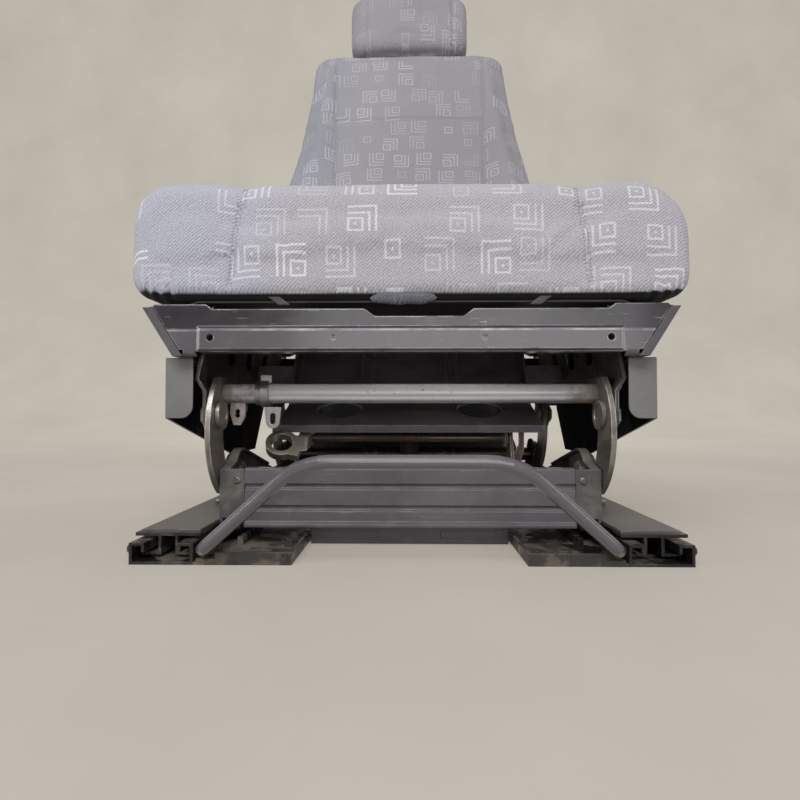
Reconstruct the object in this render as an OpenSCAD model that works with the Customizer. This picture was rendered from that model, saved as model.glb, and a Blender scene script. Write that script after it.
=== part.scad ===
// Suspension driver's seat on slide rails.
// Floor sleds carry a sliding carriage; crescent swing arms carry the seat pan on a
// parallelogram; the backrest reclines and the head restraint slides.
// +Z is up, the seat faces -Y, and the origin is the centre of the floor bolts on the floor.

/* [Slide rails] */
// Distance of each rail's middle from the seat's centre line
rail_x = 220; // [210:1:235]
// Length of the floor sleds and their rails
sled_len = 430; // [410:5:470]
// Outside width of the lower rail channel
rail_w = 57; // [54:1:62]
// Height of the lower rail channel
rail_h = 19; // [18:1:20]
// Sheet thickness of the rails and sleds
rail_t = 2.5; // [2:0.1:2.8]
// Length of the sliding upper rail
upper_rail_len = 400; // [380:5:410]
// Distance between the floor bolts across the seat
floor_bolt_x = 300; // [280:2:310]
// Distance between the floor bolts along the seat
floor_bolt_y = 330; // [300:5:360]
// Diameter of the floor bolt holes
floor_hole_d = 9; // [8:0.5:11]

/* [Lower frame] */
// Half width of the lower frame at the outer face of its side plates
frame_x = 190; // [186:1:190]
// Sheet thickness of the side plates
side_t = 3; // [2.5:0.1:3.5]
// Front of the lower frame, behind the origin's plane
frame_front = 153; // [150:1:156]
// Height of the front cross member's top edge
lower_member_top = 79; // [76:1:81]

/* [Swing arms] */
// Place of the front arms' lower pivot along the seat
pivot_y = -104; // [-106:1:-100]
// Height of the lower pivots
pivot_z = 70; // [68:1:72]
// Distance between the front and rear arm pivots
arm_base = 254; // [248:1:258]
// How far the upper pivots lie in front of the lower ones
arm_lean = 48; // [46:1:50]
// How far the upper pivots lie above the lower ones
arm_rise = 62; // [60:1:64]
// Thickness of the arm plates
arm_t = 5; // [4:0.2:5]
// Diameter of the cross shaft between the front arms
shaft_d = 20; // [16:1:21]
// Diameter of the pivot pins
pin_d = 16; // [14:0.5:17]
// Radial clearance of a pin in its bore
run_fit = 0.05; // [0.02:0.01:0.08]

/* [Upper frame] */
// Height of the side rails' top
rail_top = 233; // [232:0.5:234]
// Height of the side rails' lower edge
rail_bottom = 187; // [184:1:188]
// Half width of the upper frame at its top
upper_half = 250; // [246:1:252]
// Half width of the upper frame at its lower edge
lower_half = 221; // [219:1:223]
// Front face of the upper cross member
upper_front = 193; // [191:1:195]
// Sheet thickness of the upper frame
sheet = 2.5; // [2:0.1:2.5]
// Diameter of the two large holes in the spring tray
tray_hole_d = 55; // [45:1:60]
// Distance between the tray holes
tray_hole_gap = 170; // [150:1:172]

/* [Upholstery] */
// Overall width of the seat cushion
cushion_w = 510; // [490:5:512]
// Front to back length of the seat cushion
cushion_len = 452; // [430:2:453]
// Height of the cushion at its sides
cushion_h = 105; // [85:1:110]
// Widest part of the backrest
back_w = 488; // [460:2:500]
// Height of the backrest cushion
back_h = 570; // [540:5:600]
// Thickness of the backrest cushion
back_t = 62; // [50:1:64]
// Width of the head restraint
head_w = 250; // [220:5:280]

/* [Backrest] */
// Lean of the backrest at rest, in degrees
back_tilt = 8; // [4:0.5:12]
// Place of the recline axis along the seat
recline_y = 300; // [299:0.5:304]
// Height of the recline axis
recline_z = 290; // [288:0.5:294]
// Diameter of the head restraint's posts
post_d = 10; // [8:0.5:12]
// Distance between the head restraint's posts
post_gap = 140; // [120:2:160]

/* [Towel bar] */
// Diameter of the slide release bar
bar_d = 12; // [10:0.5:13]
// Half length of the bar's straight grip
grip_half = 90; // [80:1:100]
// Height of the grip
grip_z = 94; // [88:1:98]

/* [Hidden] */
$fn = 48;

PAINT = [0.23, 0.23, 0.25];
GREY_PAINT = [0.42, 0.43, 0.43];
BARE_STEEL = [0.62, 0.60, 0.57];
DARK_STEEL = [0.16, 0.15, 0.15];
ZINC = [0.70, 0.70, 0.68];
PLASTIC = [0.10, 0.10, 0.11];
CLOTH = [0.62, 0.60, 0.66];

weld_gap = 0.02;          // between a fixed shaft and the bore that it is welded in
soft_gap = 0.3;           // between a cushion and what carries it

// Rails and sleds
rail_half = rail_w / 2;
lip_reach = 13.5;         // how far the lower rail's lips reach inwards
lip_drop = 5.5;           // how far their curled edges hang down
top_gap = 3;              // from the lower rail's top to the upper rail's plate
upper_t = 3;              // upper rail's top plate
rail_crown = rail_h + top_gap + upper_t;
foot_z = 5;               // underside of the upper rail's feet
foot_half = rail_half - rail_t - 2;
web_half = 9;
shoe_gap = 0.3;
plate_inner = 104;        // inner edge of the sled's floor plate
plate_outer = rail_x - rail_half;
strip_h = 11;
fold_t = 2.5;
bar_notch_x = 172;        // the sled's front edge is cut low outboard of here, where the bar passes over it
tie_y = -136;
tie_w = 40;
tie_h = 18.5;

// Latch
rack_x = 166;
rack_w = 6;
rack_h = 7.5;
rack_pitch = 12;
rack_from = -152;
rack_to = 52;
bar_pivot = [-140, 20];
pawl_pivot = [-84, 18];
lug_x = frame_x - side_t - 2 - 4.5;
lug_t = 4.5;
latch_pin_d = 6;
latch_play = 4;           // from the upper rail's crown to the frame parts over the bar's lugs
rear_member_top = 104;
foot_out = rail_x + 24;   // outer edge of the side plates' foot

// Arms
P1 = [pivot_y, pivot_z];
P2 = [pivot_y - arm_lean, pivot_z + arm_rise];
rear_shift = [arm_base, 0];
P1R = P1 + rear_shift;
P2R = P2 + rear_shift;
arm_in = frame_x + 1;
hanger_in = arm_in + arm_t + 1;
hanger_t = 3.5;
SHAFT = P2 + [18, 22];
tube_r = 10;
ear_r = 26;
collar_x = -148;
tab_x = collar_x - 24.5;
base_bolts = [-62, 40, 180];
SCREW = [frame_x - 17.8, 67];

// Upper frame
pan_z = 240;
pan_t = 2;
pan_half = 200;
hanger_kink_z = 167.5;
tray_half = 150;
TRAY_FRONT = [-88, 120];
TRAY_BEND = [12, 157];
TRAY_TOP = [70, pan_z - pan_t - 12];
ROD = [-68, 105];         // cross rod under the tray
EYE = [-140, -100, 98.5]; // round eye at the rod's right end
eye_d = 24;
member_hole = [185, 204];
valance_rear = 160;
valance_drop = 49;        // from the valance's front lower corner to its lowest edge
pan_front = -186;
pan_rear = 262;
flange_w = 9;             // front flange of the side rails, beside the seam of the front member
corner_roll = 6;          // rolled lower corners of the front member
member_low = rail_bottom + 4;   // lower edge of the front member between them
notch_x = 9;              // middle of the notch in its top edge
notch_half = 41;
skirt_low = 112;

// Suspension springs and damper
spring_x = 60;
spring_z = 48;
wire_d = 4.5;
coil_r = 11.5;
coil_from = -40;
coil_to = 112;
curls = 16;
lever_drop = pivot_z - spring_z;
lever_pin_r = 3.5;
eye_r = lever_pin_r + wire_d / 2 + 0.75;
anchor_y = -frame_front + 26;
DAMPER_LOW = [90, 46];
DAMPER_TOP = [50, 150];
damper_rod_d = 10;
damper_len = norm(DAMPER_TOP - DAMPER_LOW);
damper_lean = atan2(DAMPER_TOP.x - DAMPER_LOW.x, DAMPER_TOP.y - DAMPER_LOW.y);
damper_slack = 1.9;       // radial room of the damper's upper eye, the one open pivot of its linkage

// Backrest, in its own upright frame with the recline axis at its origin
frame_back_y = 22;        // front of the backrest's frame behind the axis
back_front_y = frame_back_y - soft_gap - back_t + 12;
frame_depth = 26;
frame_inset = 12;
recliner_x = lower_half + 7;
member_half = recliner_x - 0.5;
lever_gap = 2.5;          // from the lever to whatever stands widest beside it
lever_hub = 10;           // least length of the lever's hub
housing_out = recliner_x + 8;
recliner_pin_end = housing_out - 2;
lever_x = max(cushion_w / 2, housing_out + lever_hub) + lever_gap;
post_y = frame_back_y + frame_depth / 2;
bar_heights = [104, back_h - 56];
shell_y = frame_back_y + frame_depth + 2;
back_top = back_h - 22;
head_z = back_h + 4;
// Half width of the backrest at heights above the recline axis
BACK_WIDTHS = [[-60, 205], [60, 205], [125, back_w / 2], [262, back_w / 2], [352, back_w / 2 - 34],
    [back_h, back_w / 2 - 60]];
function back_half(z) = lookup(z, BACK_WIDTHS);

function mirrored(points) = concat(points, [for (i = [len(points) - 1:-1:0]) [-points[i].x, points[i].y]]);
function unit(v) = v / norm(v);

module left_side() { children(); }
module right_side() { mirror([1, 0, 0]) children(); }
module both_sides() {
    left_side() children();
    right_side() children();
}
// A plate whose outline is drawn in Y and Z
module plate_x(x, t) { translate([x, 0, 0]) rotate([90, 0, 90]) linear_extrude(t) children(); }
// A plate or bar whose outline is drawn in X and Z
module plate_y(y, t) { translate([0, y + t, 0]) rotate([90, 0, 0]) linear_extrude(t) children(); }
// A rod along X through a point given in Y and Z
module rod_x(p, d, x0, x1, sides = 48) {
    translate([x0, p.x, p.y]) rotate([0, 90, 0]) cylinder(d = d, h = x1 - x0, $fn = sides);
}
module dot(p, r) { translate(p) circle(r, $fn = 40); }
module box(low, high) { translate(low) cube(high - low); }

// ---------------------------------------------------------------- floor sleds
module lower_rail() {
    color(DARK_STEEL) translate([rail_x, 0, 0]) difference() {
        plate_y(-sled_len / 2, sled_len) {
            translate([-rail_half, 0]) square([rail_w, rail_t]);
            for (s = [0, 1]) mirror([s, 0]) {
                translate([rail_half - rail_t, 0]) square([rail_t, rail_h]);
                translate([rail_half - lip_reach, rail_h - rail_t]) square([lip_reach, rail_t]);
                translate([rail_half - lip_reach, rail_h - rail_t - lip_drop]) square([rail_t, lip_drop + 1]);
            }
        }
        stud_places() rod_x([0, 0], 6 + 2 * weld_gap, rail_half - rail_t - 1, rail_half + 1);
    }
}
module stud_places() {
    for (s = [-1, 1]) translate([0, s * (sled_len / 2 - 9), rail_h - 7]) children();
}
module lower_rail_left() { left_side() lower_rail(); }
module lower_rail_right() { right_side() lower_rail(); }

// The flat part of a sled, inboard of its rail: floor bolts, folded edges and the latch rack
module floor_plate() {
    color(DARK_STEEL) difference() {
        union() {
            box([plate_inner, -sled_len / 2, 0], [plate_outer, sled_len / 2, rail_t]);
            box([plate_inner + fold_t, -sled_len / 2, 0], [bar_notch_x, -sled_len / 2 + fold_t, strip_h]);
            box([bar_notch_x, -sled_len / 2, 0], [plate_outer - 3, -sled_len / 2 + fold_t, strip_h / 2]);
            box([plate_inner, -sled_len / 2, 0], [plate_inner + fold_t, tie_y - 1, strip_h]);
            box([plate_inner, tie_y + tie_w + 1, 0], [plate_inner + fold_t, sled_len / 2, strip_h]);
        }
        for (s = [-1, 1])
            translate([floor_bolt_x / 2, s * floor_bolt_y / 2, -1]) cylinder(d = floor_hole_d, h = rail_t + 2);
    }
}
module floor_plate_left() { left_side() floor_plate(); }
module floor_plate_right() { right_side() floor_plate(); }

module latch_rack() {
    notch = rack_pitch / 2;
    color(DARK_STEEL) plate_x(rack_x, rack_w) difference() {
        translate([rack_from, rail_t]) square([rack_to - rack_from, rack_h]);
        for (y = [rack_from + notch:rack_pitch:rack_to - notch])
            translate([y, rail_t + rack_h - 5]) square([notch, 6]);
    }
}
module latch_rack_left() { left_side() latch_rack(); }
module latch_rack_right() { right_side() latch_rack(); }

// Channel that holds the two sleds at their distance, with feet on the floor plates
module floor_tie_plate() {
    span = plate_inner - 3;
    color(PAINT) difference() {
        union() {
            plate_x(-span, 2 * span) {
                translate([tie_y, 0]) square([fold_t, tie_h]);
                translate([tie_y + tie_w - fold_t, 0]) square([fold_t, tie_h]);
                translate([tie_y, tie_h - fold_t]) square([tie_w, fold_t]);
            }
            for (y = [0, tie_w - 12])
                box([-span - 20, tie_y + y, rail_t], [span + 20, tie_y + y + 12, rail_t + fold_t]);
            for (x = [-60, 60]) box([x - 28, tie_y - 1.2, 6], [x + 28, tie_y, 13]);
        }
        for (s = [-1, 1], y = [6, tie_w - 6])
            translate([s * (span + 12), tie_y + y, 0]) cylinder(d = 5, h = 8);
    }
}

// Round studs on the outside of the rails, at their ends
module rail_studs() {
    color(DARK_STEEL) both_sides() translate([rail_x, 0, 0]) stud_places() {
        rod_x([0, 0], 6, rail_half - rail_t, rail_half);
        translate([rail_half, 0, 0]) rotate([0, 90, 0])
            rotate_extrude() polygon([[0, 0], [5, 0], [5, 2.5], [3.6, 4.6], [0, 5.4]]);
    }
}

// ---------------------------------------------------------------- carriage
module upper_rail() {
    color(DARK_STEEL) translate([rail_x, 0, 0]) plate_y(-upper_rail_len / 2, upper_rail_len) {
        translate([-rail_half - 1, rail_crown - upper_t]) square([rail_w + 2.5, upper_t]);
        for (s = [0, 1]) mirror([s, 0]) {
            translate([web_half - rail_t, foot_z]) square([rail_t, rail_crown - upper_t - foot_z + 0.5]);
            translate([web_half - rail_t, foot_z]) square([foot_half - web_half + rail_t, rail_t]);
            translate([foot_half - rail_t, foot_z]) square([rail_t, 9]);
        }
    }
}
module upper_rail_left() { left_side() upper_rail(); }
module upper_rail_right() { right_side() upper_rail(); }

// Plastic shoes clipped round the upturned edges of the upper rail's feet
module slide_shoes() {
    shoe_len = 36;
    fit = 0.1;
    low = rail_t + shoe_gap;
    high = rail_h - rail_t - shoe_gap;
    inner = rail_half - lip_reach + rail_t + 0.7;
    outer = rail_half - rail_t - shoe_gap;
    color(PLASTIC) both_sides() translate([rail_x, 0, 0])
        for (s = [0, 1], y = [-1, 1]) mirror([s, 0, 0])
            plate_y(y * (upper_rail_len / 2 - 40) - shoe_len / 2, shoe_len) difference() {
                translate([inner, low]) square([outer - inner, high - low]);
                translate([inner - 1, foot_z - fit]) square([foot_half - inner + 1 + fit, rail_t + 2 * fit]);
                translate([foot_half - rail_t - fit, foot_z]) square([rail_t + 2 * fit, 9 + fit]);
            }
}

module side_outline() {
    front = -frame_front;
    base = rail_crown;
    union() {
        polygon([[front, base], [front, base + 52], [P1.x - 22, P1.y + 13.8], [P1.x, P1.y], [P1.x + 9, P1.y + 24.4],
            [P1.x + 156, base + 33], [P1R.x - 22, base + 35], [P1R.x, P1R.y], [P1R.x + 22, base + 35],
            [P1R.x + 50, base + 25], [P1R.x + 50, base]]);
        dot(P1, ear_r);
        dot(P1R, ear_r - 2);
    }
}
module side_plate() {
    front = -frame_front;
    in = frame_x - side_t;
    color(GREY_PAINT) difference() {
        union() {
            plate_x(in, side_t) {
                side_outline();
                translate([front + 1, rail_crown - 17]) square([26, 18]);
                translate([pawl_pivot.x - 13, rail_crown - 17]) square([26, 18]);
            }
            plate_x(in - 6, 7) intersection() {
                difference() {
                    side_outline();
                    offset(delta = -2.5) side_outline();
                }
                translate([front + 6, P1.y - 8]) square([150, 60]);
            }
            box([frame_x - 25, front, rail_crown + latch_play], [frame_x - 1, front + sheet, rail_crown + 53]);
            box([frame_x - 1, front + 3, rail_crown], [foot_out, P1R.x + 50, rail_crown + 3]);
            box([rail_x - rail_half - 1, -upper_rail_len / 2, rail_crown], [foot_out, front + 4, rail_crown + 3]);
        }
        rod_x(P1, pin_d + 2 * weld_gap, in - 1, frame_x + 1);
        rod_x(P1R, 2 * (tube_r + run_fit), in - 1, frame_x + 1);
        rod_x(bar_pivot, latch_pin_d + 2 * weld_gap, in - 1, frame_x + 1);
        rod_x(pawl_pivot, latch_pin_d + 2 * weld_gap, in - 1, frame_x + 1);
        for (y = [10, 100]) plate_x(in - 1, side_t + 2) hull() for (s = [-1, 1]) dot([y + 20 * s, rail_crown + 18], 8);
        screw_holes();
        for (y = base_bolts) translate([rail_x, y, rail_crown - 1]) cylinder(d = 8.1, h = 6);
    }
}
module screw_holes() {
    translate([SCREW.x, -frame_front - 1, SCREW.y]) rotate([-90, 0, 0]) cylinder(d = 5 + 2 * weld_gap, h = 9);
}
module side_plate_left() { left_side() side_plate(); }
module side_plate_right() { right_side() side_plate(); }

// Front channel: a face with two pressed grooves, a rolled top and a bottom lip
module lower_front_member() {
    y = -frame_front;
    top = lower_member_top;
    half = frame_x - 25.5;
    g = 3;
    groove = [60.5, 39];
    color(PAINT) difference() {
        union() {
            plate_x(-half, 2 * half) polygon([
                [y + 12, top], [y + 1.5, top], [y, top - 1.5],
                [y, groove[0] + 3], [y + g, groove[0] + 1.5], [y + g, groove[0] - 1.5], [y, groove[0] - 3],
                [y, groove[1] + 3], [y + g, groove[1] + 1.5], [y + g, groove[1] - 1.5], [y, groove[1] - 3],
                [y, 26], [y - 3, 23.5], [y - 3, 20.5], [y + 12, 20.5], [y + 12, 23], [y + sheet, 23],
                [y + sheet, groove[1] - 4], [y + g + sheet, groove[1] - 2.5], [y + g + sheet, groove[1] + 2.5],
                [y + sheet, groove[1] + 4], [y + sheet, groove[0] - 4], [y + g + sheet, groove[0] - 2.5],
                [y + g + sheet, groove[0] + 2.5], [y + sheet, groove[0] + 4],
                [y + sheet, top - sheet], [y + 12, top - sheet]]);
            both_sides() {
                box([half - 0.5, y + sheet, rail_crown + latch_play], [frame_x - side_t - 6.2, y + 2 * sheet, top - 4]);
                box([half - 6, y + sheet - 0.5, rail_crown + latch_play], [half, y + 2 * sheet, groove[1] - 6]);
                box([half - 6, y + sheet - 0.5, groove[0] + 6], [half, y + 2 * sheet, top - 4]);
            }
            both_sides() box([spring_x - 3, y + sheet - 0.5, 42.5], [spring_x + 3, anchor_y, 57]);
        }
        both_sides() screw_holes();
    }
}
module lower_rear_member() {
    y = P1R.x + 50;
    foot = rail_crown + 3;
    half = frame_x - side_t;
    top = half - 22;
    color(PAINT) {
        plate_y(y - fold_t, fold_t) polygon(mirrored(
            [[half, foot], [half, foot + 20], [top + 3, rear_member_top - 6], [top - 3, rear_member_top]]));
        box([-half, y - 14, foot], [half, y - fold_t + 0.5, foot + fold_t]);
        box([-top + 4, y - 14, rear_member_top - fold_t], [top - 4, y - fold_t + 0.5, rear_member_top]);
        box([-top + 4, y - 14, rear_member_top - 9], [top - 4, y - 14 + fold_t, rear_member_top]);
    }
}
// Screws of the front member and the bolts that hold the side plates on the upper rails
module frame_bolts() {
    color(ZINC) both_sides() {
        translate([SCREW.x, -frame_front, SCREW.y]) rotate([-90, 0, 0]) {
            cylinder(d = 5, h = 7.5);
            translate([0, 0, -2]) rotate_extrude() polygon([[0, 0], [2.6, 0], [3.7, 0.9], [3.7, 2], [0, 2]]);
        }
        for (y = base_bolts) translate([rail_x, y, rail_crown]) {
            cylinder(d = 8, h = 3);
            translate([0, 0, 3]) cylinder(d = 14, h = 5, $fn = 6);
        }
        for (p = [bar_pivot, pawl_pivot]) {
            rod_x(p, latch_pin_d, lug_x - 1, frame_x);
            rod_x(p, 9, lug_x - 2.5, lug_x - 1);
        }
    }
}
module lower_pivot_bolts() {
    in = frame_x - side_t;
    color(ZINC) both_sides() {
        rod_x(P1, pin_d, in, arm_in + arm_t + 0.4);
        rod_x(P1, 25, in - 6, in, 6);
        rod_x(P1, pin_d + 6, arm_in + arm_t + 0.4, arm_in + arm_t + 2);
    }
}
// Cross plate behind the front member with the threaded ends of the two springs
module spring_anchor() {
    y = anchor_y;
    color(ZINC) both_sides() {
        difference() {
            box([spring_x - 13, y, 40], [spring_x + 13, y + 4, 60]);
            translate([spring_x, y - 1, spring_z]) rotate([-90, 0, 0]) cylinder(d = wire_d + 0.2, h = 6);
        }
        translate([spring_x, y + 4, spring_z]) rotate([-90, 0, 0]) difference() {
            cylinder(d = 13, h = 6, $fn = 6);
            translate([0, 0, -1]) cylinder(d = wire_d + 0.2, h = 8);
        }
    }
}
module damper_beam() {
    reach = frame_x - side_t;
    y = DAMPER_LOW.x;
    color(PAINT) {
        box([-reach, y - 15, rail_crown + 3], [reach, y + 15, rail_crown + 7]);
        both_sides() plate_x(11, 3) {
            dot(DAMPER_LOW, 10);
            translate([y - 10, rail_crown + 6.5]) square([20, DAMPER_LOW.y - rail_crown - 6.5]);
        }
        rod_x(DAMPER_LOW, 8, -16, 16);
    }
}

// ---------------------------------------------------------------- slide latch
// Bent tube whose flattened ends turn on pins in the side plates
module towel_bar() {
    knee_x = lug_x + lug_t / 2;
    GRIP = [grip_half, -248, grip_z];
    KNEE = [knee_x, -222, 13];
    END = [knee_x, -176, 19];
    rest = bar_pivot;
    bend = 26;
    u = unit(KNEE - GRIP);
    v = unit(END - KNEE);
    color(PAINT) difference() {
        union() {
            bent_tube(concat(
                [[-0.001, GRIP.y, GRIP.z]],
                arc_between(GRIP, [-1, 0, 0], u, bend, 5),
                arc_between(KNEE, -u, v, 12, 4),
                [END]), bar_d / 2, 16);
            mirror([1, 0, 0]) bent_tube(concat(
                [[-0.001, GRIP.y, GRIP.z]],
                arc_between(GRIP, [-1, 0, 0], u, bend, 5),
                arc_between(KNEE, -u, v, 12, 4),
                [END]), bar_d / 2, 16);
            both_sides() plate_x(lug_x, lug_t) lug_outline(rest);
        }
        both_sides() rod_x(rest, latch_pin_d + 2 * run_fit, lug_x - 1, lug_x + lug_t + 1);
    }
}
module lug_outline(c) {
    polygon([[-184, 14], [-184, 22.5], [-150, 26], [c.x + 6, 26], [c.x + 28, 22], [c.x + 28, 14], [c.x + 10, 13],
        [-152, 13]]);
}
// Points of a rounded corner at c between a leg that comes from direction a and one that leaves along b
function arc_between(c, a, b, size, steps) =
    [for (i = [0:steps]) let (t = i / steps)
        c + size * ((1 - t) * (1 - t) * a + t * t * b)];
function tangent(p, i) = unit(p[min(i + 1, len(p) - 1)] - p[max(i - 1, 0)]);
function across(n, t) = unit(n - (n * t) * t);
// Frames carried along a path without twist, one ring of points at each
function rings(p, r, sides, n0) =
    [for (i = 0, n = across(n0, tangent(p, 0)); i < len(p);
        i = i + 1, n = i < len(p) ? across(n, tangent(p, i)) : n)
        let (b = cross(tangent(p, i), n))
        for (k = [0:sides - 1]) p[i] + r * (cos(360 * k / sides) * n + sin(360 * k / sides) * b)];
function tube_faces(count, sides) = concat(
    [[for (k = [0:sides - 1]) k]],
    [for (i = [0:count - 2], k = [0:sides - 1]) let (a = i * sides + k, b = i * sides + (k + 1) % sides)
        each [[a, a + sides, b], [b, a + sides, b + sides]]],
    [[for (k = [sides - 1:-1:0]) (count - 1) * sides + k]]);
module bent_tube(path, r, sides, n0 = [0, 0, 1]) {
    polyhedron(rings(path, r, sides, n0), tube_faces(len(path), sides), convexity = 8);
}

// Rocker whose tooth drops into the rack; the bar's lug presses on its front finger
module latch_pawl() {
    p = pawl_pivot;
    color(ZINC) difference() {
        union() {
            plate_x(lug_x, lug_t) {
                dot(p, 7);
                polygon([[p.x - 34, 9.7], [p.x - 34, 13.6], [p.x - 8, 13.6], [p.x - 5, p.y + 5], [p.x + 5, p.y + 5],
                    [p.x + 40, p.y + 3], [p.x + 40, 10.4], [p.x + 28, 10.4], [p.x + 8, p.y - 5], [p.x - 8, 11]]);
            }
            box([rack_x - 2, p.x + 34.5, 10.4], [lug_x + 1, p.x + 39.5, p.y + 1]);
        }
        rod_x(p, latch_pin_d + 2 * run_fit, lug_x - 1, lug_x + lug_t + 1);
    }
}
module latch_pawl_left() { left_side() latch_pawl(); }
module latch_pawl_right() { right_side() latch_pawl(); }

// ---------------------------------------------------------------- swing arms
// Crescent pressing between a lower and an upper pivot, drawn about the lower one
module arm_outline() {
    up = P2 - P1;
    intersection() {
        difference() {
            translate([0, 45]) circle(74, $fn = 120);
            translate([26, 46]) circle(63, $fn = 120);
        }
        translate([-90, -18]) square([110, 118]);
    }
    dot([0, 0], 20);
    dot(up, 17);
    dot(SHAFT - P2 + up, 14);
}
module front_arm() {
    color(BARE_STEEL) difference() {
        plate_x(arm_in, arm_t) translate(P1) arm_outline();
        rod_x(P1, pin_d + 2 * run_fit, arm_in - 1, arm_in + arm_t + 1);
        rod_x(P2, pin_d + 2 * run_fit, arm_in - 1, arm_in + arm_t + 1);
    }
}
module front_arm_left() { left_side() front_arm(); }
module front_arm_right() { right_side() front_arm(); }

module torque_shaft() {
    color(BARE_STEEL) {
        rod_x(SHAFT, shaft_d, -arm_in, arm_in);
        shaft_tab();
    }
}
// Folded tab with a slot, welded under the shaft beside the pivot disc
module shaft_tab() {
    top = SHAFT.y - shaft_d / 2 + 1.5;
    difference() {
        union() {
            plate_y(SHAFT.x - 3, 3) translate([tab_x, top])
                polygon([[-12, 0], [1, 0], [3, -15], [-2, -24], [-9, -24], [-13, -12]]);
            plate_x(tab_x, 3) translate([SHAFT.x, top]) polygon([[-3, 0], [6, 0], [6, -8], [-3, -13]]);
        }
        translate([tab_x - 5, SHAFT.x - 5, 0]) for (z = [top - 14, top - 10]) translate([0, 0, z])
            rotate([-90, 0, 0]) cylinder(d = 5, h = 8);
    }
}
// Clamping collar on the shaft with a raised key
module shaft_collar() {
    color(ZINC) difference() {
        union() {
            rod_x(SHAFT, shaft_d + 8, collar_x - 4, collar_x + 4);
            rod_x(SHAFT, shaft_d + 3, collar_x - 10, collar_x - 4);
            plate_x(collar_x - 5, 11) translate([SHAFT.x - 5, SHAFT.y + shaft_d / 2 + 1]) square([10, 8]);
        }
        rod_x(SHAFT, shaft_d + 2 * weld_gap, collar_x - 20, collar_x + 20);
    }
}
// Slotted link that hangs below the collar
module stop_link() {
    y0 = SHAFT.x - 7;
    top = SHAFT.y - shaft_d / 2 - 4;
    low = top - 15;
    color(ZINC) difference() {
        translate([collar_x + 8, 0, 0]) plate_y(y0, 5) hull() {
            translate([-8.5, top - 2]) square([17, 2]);
            translate([0, low]) circle(7, $fn = 32);
        }
        translate([collar_x + 8, y0 - 1, 0]) for (z = [0:2:6])
            translate([0, 0, low + z]) rotate([-90, 0, 0]) cylinder(d = 5.5, h = 8);
    }
}

module rear_arm() {
    color(BARE_STEEL) difference() {
        plate_x(arm_in, arm_t) translate(P1R) arm_outline();
        rod_x(P1R, 2 * (tube_r + weld_gap), arm_in - 1, arm_in + arm_t + 1);
        rod_x(P2R, pin_d + 0.6, arm_in - 1, arm_in + arm_t + 1);
    }
}
module rear_arm_left() { left_side() rear_arm(); }
module rear_arm_right() { right_side() rear_arm(); }

// Tube that turns in the side plates, ties the rear arms and carries the springs' levers
module rear_pivot_tube() {
    color(DARK_STEEL) {
        difference() {
            rod_x(P1R, 2 * tube_r, -arm_in - arm_t, arm_in + arm_t);
            rod_x(P1R, 2 * tube_r - 6, -arm_in - arm_t - 1, arm_in + arm_t + 1);
        }
        both_sides() {
            for (x = [spring_x - 9, spring_x + 5]) difference() {
                plate_x(x, 4) {
                    dot(P1R, tube_r + 4);
                    translate([P1R.x - 7, spring_z]) square([14, lever_drop]);
                    dot([P1R.x, spring_z], 7);
                }
                rod_x(P1R, 2 * tube_r - 1, x - 1, x + 5);
            }
            rod_x([P1R.x, spring_z], 2 * lever_pin_r, spring_x - 9, spring_x + 9);
        }
    }
}

// Extension spring: straight threaded end, curls, straight end and an eye round the lever's pin
function spring_path() = let (pin = P1R.x, turn = 45)
    concat(
        [[0, anchor_y + soft_gap, 0], [0, coil_from - 14, 0]],
        [for (i = [0:8 * curls]) let (a = turn * i, t = i / (8 * curls))
            [coil_r * cos(a) * end_ease(t), coil_from + (coil_to - coil_from) * t, coil_r * sin(a) * end_ease(t)]],
        [[0, coil_to + 12, 0]],
        [for (i = [0:7]) let (a = 180 + 8 - 45 * i) [0.55 * i - 1.2, pin + eye_r * cos(a), eye_r * sin(a)]]);
function end_ease(t) = min(1, 10 * t + 0.12, 10 * (1 - t) + 0.12);
// Least gap between the spring's turns, measured on its middle line
function least_gap(p, apart) = min([for (i = [0:len(p) - 1 - apart], j = [i + apart:len(p) - 1]) norm(p[i] - p[j])])
    - wire_d;
echo(spring_turns_gap = least_gap(spring_path(), 5));
module spring() {
    color(DARK_STEEL) translate([spring_x, 0, spring_z])
        bent_tube(spring_path(), wire_d / 2, 6, [1, 0, 0]);
}
module spring_left() { left_side() spring(); }
module spring_right() { right_side() spring(); }

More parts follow.
